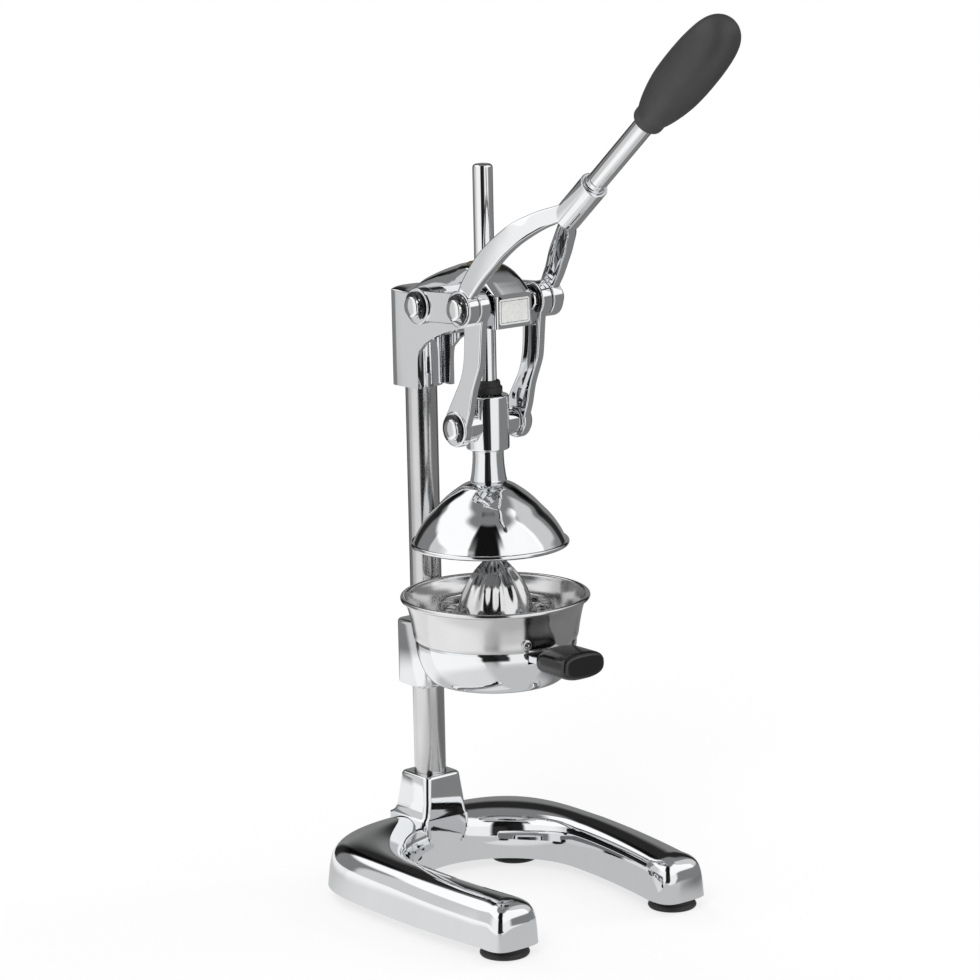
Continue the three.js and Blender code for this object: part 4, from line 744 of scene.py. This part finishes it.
# %% Crosshead
CROSSHEAD = softened([(6.8, 299.5), (14, 299.5), (14, 335), (6.8, 335)], 1.6, steps=5)
crosshead = lathe("ram_crosshead", CROSSHEAD, steps=120)
stub_place = across_x(0, 315.5)
STUB = softened([(0, -20.7), (9, -20.7), (9, 20.7), (0, 20.7)], 1.0, closed=False)
combine(crosshead, "UNION", lathe("crosshead_stubs", STUB, stub_place, steps=96))
combine(crosshead, "DIFFERENCE", rod("rod_room", 6.8, 290, 345, steps=72), smooth=40)
settle(crosshead, CAST_CHROME, "ram", "chrome_casting", "crosshead")

# %% [markdown]
# ## Head
# The head is a narrow casting, 30 mm wide: a low deck over the column, a rounded hump over the
# guide of the rod and a flat slope down to the badge. It is a skin from front to back, trimmed to
# its outline seen from above, and the arch below is cut away with a side view of itself.

# %% Head
HEAD_TOP, SIDE_LOW, SIDE_TOP, HEAD_FRONT, HEAD_REAR, HALF = 420, 393, 404, 29.5, 83, 15
TOP = [(0, 1.045, 0.66, 3.2), (0.05, 0.75, 1.08, 3.2), (0.1, 0.475, 1.47, 3.2), (0.175, 0.19, 1.87, 3), (0.262, 0.025, 2.05, 2.4),
       (0.348, 0.01, 1.55, 1.5), (0.394, 0.07, 1.27, 0.8), (0.455, 0.16, 1, 0.1), (0.517, 0.29, 0.94, -0.3),
       (0.58, 0.43, 0.93, -0.4), (0.643, 0.6, 0.86, -0.4), (0.706, 0.8, 0.7, -0.4), (0.754, 1.08, 0.46, -0.1),
       (0.803, 1.33, 0.26, 0.8), (0.85, 1.4, 0.2, 1.3), (0.9, 1.38, 0.18, 1.5), (0.95, 1.36, 0.16, 1.5), (0.98, 1.385, 0.1, 1.5),
       (0.993, 1.49, -0.05, 1.5), (1, 1.74, -0.4, 1.5)]
ARCH = [(1, 1), (0.993, 0.55), (0.94, 0.42), (0.86, 0.32), (0.68, 0.185), (0.46, 0.08), (0.2, 0.01), (0, 0)]


def hump_ring(along, fall, side, width, steps=20):
    y = -HEAD_FRONT + (HEAD_FRONT + HEAD_REAR) * along
    low = blend(SIDE_LOW, SIDE_TOP, side)
    high = HEAD_TOP - (HEAD_TOP - SIDE_TOP) * fall
    ring = []
    for step in range(steps + 1):
        angle = step / steps * math.pi
        x = math.copysign(abs(math.cos(angle)) ** (2 / (2 + width)), math.cos(angle)) * HALF
        ring.append(place(x, y, low + math.sin(angle) * max(high - low, 0.2)))
    return ring + [place(-HALF, y, 320), place(HALF, y, 320)]


head = skin("head_body", [hump_ring(*(row[i] for i in range(4))) for row in flowing([Vector(r) for r in TOP], 64)], smooth=30)
plan = []
for step in range(49):
    angle = step / 48 * math.pi
    power = 6
    plan.append((math.copysign(abs(math.cos(angle)) ** (2 / power), math.cos(angle)) * HALF,
                 COLUMN_Y + math.sin(angle) ** (2 / power) * (HEAD_REAR - COLUMN_Y)))
for side_x, first, second in ((-1, 0, 1), (1, 1, 0)):
    corner = [(side_x * (HALF - 2 + 2 * math.cos(a)), -HEAD_FRONT + 2 - 2 * math.sin(a)) for a in
              [blend(0, math.pi / 2, step / 6) for step in range(7)]]
    plan += corner if side_x < 0 else corner[::-1]
trim = skin("head_plan", [[place(x, y, z) for x, y in plan] for z in (315, 430)], smooth=30)
combine(head, "INTERSECT", trim)
round_edges(head, 2.0, segments=5)
arch = [(blend(-HEAD_FRONT, 53, along), blend(381.5, 333, down)) for along, down in ARCH]
arch = [tuple(p) for p in flowing([Vector(p) for p in arch], 40)]
under_tool = slab("head_arch", arch + [(-34, 381.5), (-34, 300), (90, 300), (90, 333)], -20, 20)
pocket = box_tool("head_pocket", (-12, 12), (31, COLUMN_Y), (325, 375.5))
combine(head, "DIFFERENCE", under_tool, pocket)
combine(head, "UNION", rod("column_boss", 14.2, 333, 381.5, column_place, steps=72),
        lathe("axle_boss", softened([(0, -29.7), (11, -29.7), (11, 29.7), (0, 29.7)], 1.0, closed=False), across_x(22.5, 393.5), steps=96))
combine(head, "DIFFERENCE", rod("head_column_bore", 10.8, 325, 389.3, column_place, steps=72),
        rod("rod_guide", 9, 370, 430, steps=72), rod("upper_seat", 11.3, 418.4, 430, steps=72),
        rod("lower_seat", 11.3, 370, 381.5, steps=72),
        lathe("axle_room", [(0, -40), (7.2, -40), (7.2, 40), (0, 40)], across_x(22.5, 393.5), steps=64),
        box_tool("badge_seat", (-12.3, 12.3), (-34, -28.9), (383.7, 400.3)))
round_edges(head, 0.7)
settle(head, CAST_CHROME, "stand", "chrome_casting", "head_casting")

# %% [markdown]
# The badge is a thin plate with rounded corners and an engraved frame line. It is left bare. The
# line is made by insetting the face twice and pushing the strip between the insets in.

# %% Badge plate
badge = start("bare_badge", bpy.ops.mesh.primitive_plane_add, size=1)
bpy.ops.transform.resize(value=(24.4 * MM, 16.4 * MM, 1))
bpy.ops.mesh.bevel(offset=1.6 * MM, segments=5, affect="VERTICES")
bpy.ops.mesh.extrude_region_move(TRANSFORM_OT_translate={"value": (0, 0, 0.9 * MM)})
bpy.ops.mesh.inset(thickness=0.25 * MM, depth=0.2 * MM)
bpy.ops.mesh.inset(thickness=1.0 * MM)
bpy.ops.mesh.inset(thickness=0.15 * MM, depth=-0.12 * MM)
bpy.ops.mesh.inset(thickness=0.02 * MM)
bpy.ops.mesh.inset(thickness=0.13 * MM, depth=0.12 * MM)
leave_edit(badge, Matrix.Translation(place(0, -28.7, 392)) @ Matrix.Rotation(math.pi / 2, 4, "X"), smooth=20)
settle(badge, BADGE_SILVER, "stand", "polished_steel", "badge_plate")
badge.data.materials.append(CLIP_STEEL)
for face in badge.data.polygons:
    spot = (face.center - place(0, 0, 392)) / MM
    face.material_index = int(10.6 < max(abs(spot.x), abs(spot.z) + 4) < 10.96)
print("badge plate", len(badge.data.polygons), "faces")

# %% [markdown]
# ## Lever
# The fork straddles the head. Each side has a crank plate between two bosses and an arm that
# sweeps up and inwards to the sleeve. The arm's section is a rounded bar, carried along a smooth
# line and turned to face it, with a channel sunk in its inner face.

# %% Fork arms
PIVOT_Y, PIVOT_Z, CRANK, CRANK_RISE = 22.5, 393.5, 43.4, 2.5
FORK_IN, FORK_OUT = 30, 38.2
ARM_PATH = [(0.99, 0.415, 0.056), (0.985, 0.449, 0.202), (0.955, 0.507, 0.345), (0.885, 0.572, 0.497), (0.81, 0.637, 0.621),
            (0.721, 0.7, 0.732), (0.6, 0.775, 0.845), (0.43, 0.85, 0.935), (0.29, 0.92, 1), (0.147, 1.025, 1.07), (0.1, 1.11, 1.17)]
ARM_WIDE = [0.8, 0.82, 0.9, 1, 1, 0.95, 0.9, 0.8, 0.72, 0.66, 0.62]
ROOT_REACH, ROOT_RISE = 104.9, 62
arm_line = flowing([Vector((34.1 * o, PIVOT_Y - ROOT_REACH * f, PIVOT_Z + ROOT_RISE * u)) for o, f, u in ARM_PATH], 60)
arm_wide = [v.x for v in flowing([Vector((w, 0)) for w in ARM_WIDE], 60)]


def arm(name, wide, thick, shift, corner, first, last):
    rings = []
    for index in range(first, last + 1):
        centre = arm_line[index]
        along = (arm_line[min(index + 1, 60)] - arm_line[max(index - 1, 0)]).normalized()
        out = Vector((1, 0, 0)) - along * along.x
        out.normalize()
        rise = along.cross(out)
        half_wide, half_thick = wide(index) / 2, thick / 2
        ring = []
        for quarter in range(4):
            middle = (quarter + 0.5) * math.pi / 2
            for step in range(6):
                angle = (quarter + step / 5) * math.pi / 2
                a = math.copysign(half_thick - corner, math.cos(middle)) + corner * math.cos(angle) + shift
                b = math.copysign(half_wide - corner, math.sin(middle)) + corner * math.sin(angle)
                ring.append(place(*(centre + out * a + rise * b)))
        rings.append(ring)
    return skin(name, rings, smooth=30)


# %% Crank plates, bosses and sleeve
TILT = math.atan2(CRANK_RISE, CRANK)


def crank_outline(half):
    across = (math.sin(TILT) * half, math.cos(TILT) * half)
    return [(PIVOT_Y + across[0], PIVOT_Z + across[1]), (PIVOT_Y - CRANK + across[0], PIVOT_Z + CRANK_RISE + across[1]),
            (PIVOT_Y - CRANK - across[0], PIVOT_Z + CRANK_RISE - across[1]), (PIVOT_Y - across[0], PIVOT_Z - across[1])]


BOSS = softened([(0, FORK_IN), (11.8, FORK_IN), (11.8, FORK_OUT), (0, FORK_OUT)], 0.9, steps=5, closed=False)
sides = []
for name, flip in (("right", False), ("left", True)):
    side_piece = arm(f"arm_{name}", lambda i: 15.4 * arm_wide[i], 6.7, 0, 1.6, 0, 60)
    combine(side_piece, "DIFFERENCE", arm(f"channel_{name}", lambda i: 15.4 * arm_wide[i] - 6.2, 5, -3.6, 1.2, 9, 38))
    combine(side_piece, "UNION", round_edges(slab(f"crank_plate_{name}", crank_outline(10), 30.5, 36.7), 0.8),
            lathe(f"axle_ring_{name}", BOSS, across_x(PIVOT_Y, PIVOT_Z), steps=96),
            lathe(f"pin_ring_{name}", BOSS, across_x(PIVOT_Y - CRANK, PIVOT_Z + CRANK_RISE), steps=96))
    for y, z in ((PIVOT_Y, PIVOT_Z), (PIVOT_Y - CRANK, PIVOT_Z + CRANK_RISE)):
        combine(side_piece, "DIFFERENCE", lathe("pin_room", [(0, 20), (7.2, 20), (7.2, 50), (0, 50)], across_x(y, z), steps=64), smooth=36)
    if flip:
        side_piece.data.transform(Matrix.Scale(-1, 4, (1, 0, 0)))
        side_piece.data.flip_normals()
    sides.append(side_piece)
lever_place = Matrix.Translation(place(0, PIVOT_Y - ROOT_REACH, PIVOT_Z + ROOT_RISE)) @ Matrix.Rotation(math.radians(90 - 40.2), 4, "X")
SLEEVE = softened([(0, -0.3), (9.2, -0.3), (9.2, 35.2), (6.8, 35.2), (6.8, 9.2), (0, 9.2)], 0.9, steps=5, closed=False)
fork = lathe("lever_fork_casting", SLEEVE, lever_place, steps=96)
combine(fork, "UNION", *sides, smooth=34)
combine(fork, "DIFFERENCE", rod("tube_room", 6.8, 9.2, 40, lever_place, steps=72), smooth=34)
settle(fork, CAST_CHROME, "lever", "chrome_casting", "lever_fork")

# %% [markdown]
# The tube is plain bright bar with a thin wall. The grip is a soft moulding pushed over it: a bead
# at the neck, a body that swells past the middle, a round end, and the faint raised line that
# the two halves of its mould left on either side.

# %% Tube and grip
tube = lathe("handle_tube", softened([(5, 9.5), (6.5, 9.5), (6.5, 155.5), (5, 155.5)], 0.4), lever_place, steps=96)
settle(tube, BAR_CHROME, "lever", "chrome_rod", "lever_tube")
GRIP_START, GRIP_LONG, GRIP_R = 99.3, 96.3, 16.7
GRIP_SIDE = [(0.0, 0.53), (0.015, 0.59), (0.045, 0.6), (0.07, 0.6), (0.1, 0.665), (0.15, 0.75), (0.21, 0.83), (0.28, 0.905), (0.37, 0.97), (0.5, 1),
             (0.65, 0.99), (0.78, 0.93), (0.87, 0.835), (0.93, 0.69), (0.97, 0.49), (0.992, 0.25), (1, 0)]
grip_side = [(GRIP_R * out, GRIP_START + GRIP_LONG * along) for along, out in
             [tuple(p) for p in flowing([Vector(p) for p in GRIP_SIDE], 90)]]
grip = lathe("moulded_grip", [(6.8, GRIP_START), (8.2, GRIP_START), *grip_side[1:-1], (0, GRIP_START + GRIP_LONG),
                              (0, GRIP_START + 62), (6.8, GRIP_START + 62)], lever_place, steps=120, smooth=50)
bpy.ops.object.mode_set(mode="EDIT")
bpy.ops.mesh.select_mode(type="VERT")
bpy.ops.mesh.select_all(action="DESELECT")
mesh = bmesh.from_edit_mesh(grip.data)
to_grip = lever_place.inverted()
for vertex in mesh.verts:
    spot = to_grip @ vertex.co
    outer = math.hypot(spot.x, spot.y) > 7.4 * MM
    vertex.select_set(outer and abs(spot.y) < 0.1 * MM and spot.z < (GRIP_START + GRIP_LONG - 4) * MM)
mesh.select_flush_mode()
bmesh.update_edit_mesh(grip.data)
bpy.ops.transform.shrink_fatten(value=0.18 * MM)
bpy.ops.object.mode_set(mode="OBJECT")
settle(grip, GRIP, "lever", "charcoal_grip", "lever_grip")

# %% [markdown]
# ## Links
# Two curved links carry the pull of the cranks down to the crosshead. A link is a plate between
# two flowing edges, with a boss at each end and two grooves along its inner face that lighten it.

# %% Links
LINK_IN, LINK_THICK, LINK_DROP, CRANK_FRONT = 21, 5.6, 80.5, 20.9
REAR = [(0.139, 0.037), (0.123, 0.155), (0.132, 0.398), (0.176, 0.575), (0.27, 0.733), (0.363, 0.882), (0.399, 0.963)]
FRONT = [(-0.139, 0.037), (-0.098, 0.13), (-0.072, 0.373), (-0.05, 0.484), (0.035, 0.68), (0.078, 0.845), (0.121, 0.963)]
PIN_Y, PIN_Z = PIVOT_Y - CRANK, PIVOT_Z + CRANK_RISE


def link_edge(shares, count=28):
    return [Vector((PIN_Y + LINK_DROP * a, PIN_Z - LINK_DROP * d)) for a, d in
            [tuple(p) for p in flowing([Vector(p) for p in shares], count)]]


rear_edge, front_edge = link_edge(REAR), link_edge(FRONT)
link = round_edges(slab("link_plate_right", [tuple(p) for p in rear_edge + front_edge[::-1]], LINK_IN, LINK_IN + LINK_THICK), 1.3, 5)
UPPER = softened([(0, LINK_IN), (11.6, LINK_IN), (11.6, LINK_IN + 8.3), (0, LINK_IN + 8.3)], 1.2, steps=5, closed=False)
LOWER = softened([(0, LINK_IN), (11.6, LINK_IN), (11.6, LINK_IN + 6.6), (0, LINK_IN + 6.6)], 1.4, steps=5, closed=False)
combine(link, "UNION", lathe("upper_boss", UPPER, across_x(PIN_Y, PIN_Z), steps=96),
        lathe("lower_boss", LOWER, across_x(0, 315.5), steps=96))
for spacing in (3.7, -3.7):
    line = []
    for index in range(6, 23):
        middle = (rear_edge[index] + front_edge[index]) / 2
        run = ((rear_edge[index + 1] + front_edge[index + 1]) - (rear_edge[index - 1] + front_edge[index - 1])).normalized()
        line.append((middle + Vector((-run.y, run.x)) * spacing, Vector((-run.y, run.x))))
    ends = []
    for (spot, across), sign in ((line[-1], -1), (line[0], 1)):
        along = Vector((-across.y, across.x)) * sign
        ends.append([spot + across * 2 * math.cos(a) * sign + along * 2 * math.sin(a) for a in
                     [blend(0, math.pi, step / 8) for step in range(9)]])
    groove = [s + a * 2 for s, a in line] + ends[0] + [s - a * 2 for s, a in line[::-1]] + ends[1][::1]
    combine(link, "DIFFERENCE", slab("link_groove", [tuple(p) for p in groove], LINK_IN - 2, LINK_IN + 1.6))
combine(link, "DIFFERENCE", lathe("upper_room", [(0, 15), (7.2, 15), (7.2, 40), (0, 40)], across_x(PIN_Y, PIN_Z), steps=64),
        lathe("lower_room", [(0, 15), (7.2, 15), (7.2, 40), (0, 40)], across_x(0, 315.5), steps=64), smooth=34)
settle(mirrored(link, "link_plate_left"), CAST_CHROME, "link_left_body", "chrome_casting", "link_left")
settle(link, CAST_CHROME, "link_right_body", "chrome_casting", "link_right")

# %% [markdown]
# ## Pins, clips and small hardware
# Every pivot is a turned pin with domed ends and a groove for a spring clip, which is a flat ring
# with three jaws. Screws and bushes keep their CAD meshes, because their shape is right and only
# their finish was missing.

# %% Pins
def pin_outline(low, high, grooves, domed_low):
    dome = [(6.8 * math.sin(a) ** 0.85, 2.3 - 2.3 * max(math.cos(a), 0) ** 0.85) for a in
            [step / 14 * math.pi / 2 for step in range(15)]]
    outline = [(r, low + drop) for r, drop in dome] if domed_low else [(0, low), (6.4, low), (6.8, low + 0.4)]
    for groove in grooves:
        outline += [(7, groove - 0.2), (5.6, groove - 0.2), (5.6, groove + 1.6), (7, groove + 1.6)]
    return outline + [(r, high - drop) for r, drop in dome[::-1]]


def pin(name, y, z, *shape):
    return lathe(name, pin_outline(*shape), across_x(y, z), steps=72, smooth=44)


settle(pin("head_axle", PIVOT_Y, PIVOT_Z, -44.1, 44.1, (-39.9, 38.5), True), BAR_CHROME, "stand", "chrome_rod", "pivot_axle")
crank_pin = pin("fork_pin_right", PIN_Y, PIN_Z, 17.7, 44.1, (19.3, 38.5), False)
link_pin = pin("stub_pin_right", 0, 315.5, 21, 31.9, (27.9,), False)
settle(mirrored(crank_pin, "fork_pin_left"), BAR_CHROME, "lever", "chrome_rod", "crank_pin_left")
settle(crank_pin, BAR_CHROME, "lever", "chrome_rod", "crank_pin_right")
settle(mirrored(link_pin, "stub_pin_left"), BAR_CHROME, "link_left_body", "chrome_rod", "link_pin_left")
settle(link_pin, BAR_CHROME, "link_right_body", "chrome_rod", "link_pin_right")

# %% Spring clips
def clip_outline(outer=9.6, slot=7.5, jaw=5.75, gap=36):
    start, end = math.radians(gap - 90), math.radians(270 - gap)
    ring = [(outer * math.cos(a), outer * math.sin(a)) for a in [blend(start, end, step / 60) for step in range(61)]]
    for step in range(60, -1, -1):
        a = blend(start, end, step / 60)
        grips = min(abs(a - start), abs(a - end), abs(a - math.pi / 2)) < math.radians(17)
        ring.append(((jaw if grips else slot) * math.cos(a), (jaw if grips else slot) * math.sin(a)))
    return ring


for name, y, z, x, body in (("pivot_clip", PIVOT_Y, PIVOT_Z, 38.7, "stand"), ("crank_clip", PIN_Y, PIN_Z, 38.7, "lever"),
                            ("crank_inner_clip", PIN_Y, PIN_Z, 19.5, "lever"), ("link_clip", 0, 315.5, 28.1, "link_{}_body")):
    clip = round_edges(slab(f"{name}_ring_right", [(y + a, z + b) for a, b in clip_outline()], x, x + 1.1), 0.2, 2)
    settle(mirrored(clip, f"{name}_ring_left"), CLIP_STEEL, body.format("left"), "dark_clip", f"{name}_left")
    settle(clip, CLIP_STEEL, body.format("right"), "dark_clip", f"{name}_right")

# %% Finishes on the nodes that keep their mesh
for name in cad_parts:
    if "bush" in name:
        keep_node(name, BRONZE)
    elif "screw" in name or name in ("column_washer", "column_bolt"):
        keep_node(name, SCREW_STEEL)

# %% [markdown]
# ## Studio
# A white sweep runs under and behind the press. Camera and transmission rays see it as pure white,
# and diffuse rays meet an ordinary floor that takes the shadow. Glossy rays see it as a painted
# reflection instead, so that metal shows a studio: grey close round the press, then bright and dark
# cards painted on a dim floor. Bright metal also needs something dark to draw its edges: a grey
# ceiling above, black cards behind, one narrow gap beside the camera and a low card on the right.

# %% Directions round the press
FORWARD = Vector((-math.sin(math.radians(38.44)), -math.cos(math.radians(38.44)), 0))
RIGHTWARD = Vector((-FORWARD.y, FORWARD.x, 0))


class Studio(Finish):
    """Masks for cards and panels that stand round the press."""

    def __init__(self, tree, shader):
        self.tree, self.shader = tree, shader

    def look(self, vector):
        parts = self.node("ShaderNodeSeparateXYZ", None, {"Vector": vector}).socket.node
        flat = self.node("ShaderNodeCombineXYZ", None, {"X": Wave(self, parts.outputs[0]), "Y": Wave(self, parts.outputs[1])})
        self.flat = self.node("ShaderNodeVectorMath", {"operation": "NORMALIZE"}, {0: flat})
        self.reach = self.node("ShaderNodeVectorMath", {"operation": "LENGTH"}, {0: flat}, output=1)
        self.height = Wave(self, parts.outputs[2])

    def card(self, azimuth, half, soft):
        """1 inside an angle that is counted from the camera to the right."""
        turn = math.radians(azimuth)
        axis = FORWARD * math.cos(turn) + RIGHTWARD * math.sin(turn)
        along = self.node("ShaderNodeVectorMath", {"operation": "DOT_PRODUCT"}, {0: self.flat, 1: axis}, output=1)
        return along.band(math.cos(math.radians(half + soft)), math.cos(math.radians(half - soft)))

    def rays(self):
        path = self.node("ShaderNodeLightPath").socket.node.outputs
        return Wave(self, path["Is Camera Ray"]), Wave(self, path["Is Glossy Ray"]), Wave(self, path["Is Transmission Ray"])


# %% Floor
bpy.ops.object.mode_set(mode="OBJECT")
bpy.ops.object.select_all(action="DESELECT")
bpy.ops.mesh.primitive_circle_add(vertices=96, radius=6, fill_type="NGON", location=(0, 0, -0.0002))
floor = bpy.context.object
floor.name = "studio_floor"
floor_finish = Finish("studio_floor", Roughness=0.8, Base_Color=(0.86, 0.86, 0.86, 1))
sweep = Studio(floor_finish.tree, floor_finish.shader)
sweep.look(sweep.node("ShaderNodeTexCoord", output="Object"))
reach = sweep.reach
# Painted reflection: what glossy rays see on the floor, grey close round the press and farther out bright and dark
# cards painted on a dim floor.
away = reach.band(0.22, 0.34)
lit = 0.24 + 0.45 * sweep.card(-67, 41, 2) + 0.36 * sweep.card(-45, 32, 14) + 0.76 * sweep.card(30, 32, 6)
lit = lit + 0.75 * sweep.card(-95, 58, 3) * reach.band(0.2, 0.3) * (1 - reach.band(0.55, 0.8))
under = (0.6 + 0.22 * sweep.card(-67, 41, 12)) * (1 - 0.65 * sweep.card(128, 44, 8) * reach.band(0.1, 0.2))
mirror_white = under * (1 - away) + away * lit.math("MINIMUM", lit, 1.1)
mirror_white = mirror_white * (1 - 0.97 * sweep.card(-6, 21, 3) * reach.band(0.34, 0.46))
mirror_white = mirror_white * (1 - 0.85 * (sweep.card(144, 7, 3) + sweep.card(-149, 7, 3)) * reach.band(0.5, 0.7))
camera_ray, glossy_ray, clear_ray = sweep.rays()
white = camera_ray + clear_ray + glossy_ray * mirror_white
glow = sweep.node("ShaderNodeEmission", None, {"Color": white, "Strength": 1.0})
share = (camera_ray + clear_ray) * (0.72 + 0.28 * sweep.reach.band(0.35, 1.3)) + glossy_ray
mix = sweep.node("ShaderNodeMixShader", None, {0: share, 1: Wave(sweep, sweep.shader.outputs[0]), 2: glow})
sweep.tree.links.new(mix.socket, sweep.tree.nodes["Material Output"].inputs["Surface"])
floor.data.materials.append(floor_finish.material)

# %% Surroundings
world = bpy.data.worlds.new("studio")
bpy.context.scene.world = world
world.use_nodes = True
room = Studio(world.node_tree, world.node_tree.nodes["Background"])
room.look(room.node("ShaderNodeTexCoord", output="Generated"))
height = room.height
lower, upper = 1 - height.band(0.5, 0.6), height.band(0.44, 0.54) * (1 - height.band(0.86, 0.93))
lit = 0.24 + (0.45 * room.card(-67, 41, 2) + 0.36 * room.card(-45, 32, 14)) * lower + 0.95 * room.card(-92, 54, 2) * upper
lit = lit + 0.9 * room.card(53, 38, 4) * height.band(0.2, 0.3) * (1 - height.band(0.84, 0.92))
lit = lit + 0.76 * room.card(30, 32, 6) * (1 - height.band(0.2, 0.3))
lit = lit + 0.45 * room.card(107, 19, 4) * height.band(0.2, 0.32) * (1 - height.band(0.8, 0.9))
gap = 1 - (1 - room.card(-5, 21, 3)) * (1 - room.card(-5, 30, 3) * height.band(0.55, 0.85))
edges = 1 - (1 - room.card(144, 8, 3)) * (1 - room.card(-149, 9, 4))
mirror_white = lit.math("MINIMUM", lit, 1.2) * (1 - 0.97 * gap * (1 - height.band(0.93, 0.97)))
mirror_white = mirror_white * (1 - 0.9 * edges * (1 - height.band(0.6, 0.72))) * (1 - 0.9 * room.card(180, 39, 3) * height.band(0.26, 0.48) * (1 - height.band(0.68, 0.77)))
camera_ray, glossy_ray, clear_ray = room.rays()
plain = 0.85 * (1 - camera_ray - glossy_ray - clear_ray)
room.tree.links.new((camera_ray + clear_ray + glossy_ray * mirror_white + plain).socket, room.shader.inputs["Color"])
room.shader.inputs["Strength"].default_value = 1.0


# %% Lamps
def panel(name, location, size, power):
    bpy.ops.object.light_add(type="AREA", location=location)
    lamp = bpy.context.object
    lamp.name = name
    lamp.data.shape = "RECTANGLE"
    lamp.data.size, lamp.data.size_y = size
    lamp.data.energy = power
    lamp.visible_glossy = False
    lamp.rotation_euler = (Vector(location) - place(0, 0, 250)).to_track_quat("Z", "Y").to_euler()


panel("key_panel", (-1.5, -0.9, 1.7), (0.7, 1.1), 16)
panel("side_panel", (1.7, -0.5, 1.2), (0.5, 1.2), 9)
panel("back_panel", (0.3, 1.9, 1.6), (1.4, 0.5), 9)
scene = bpy.context.scene
scene.view_settings.view_transform = "Standard"
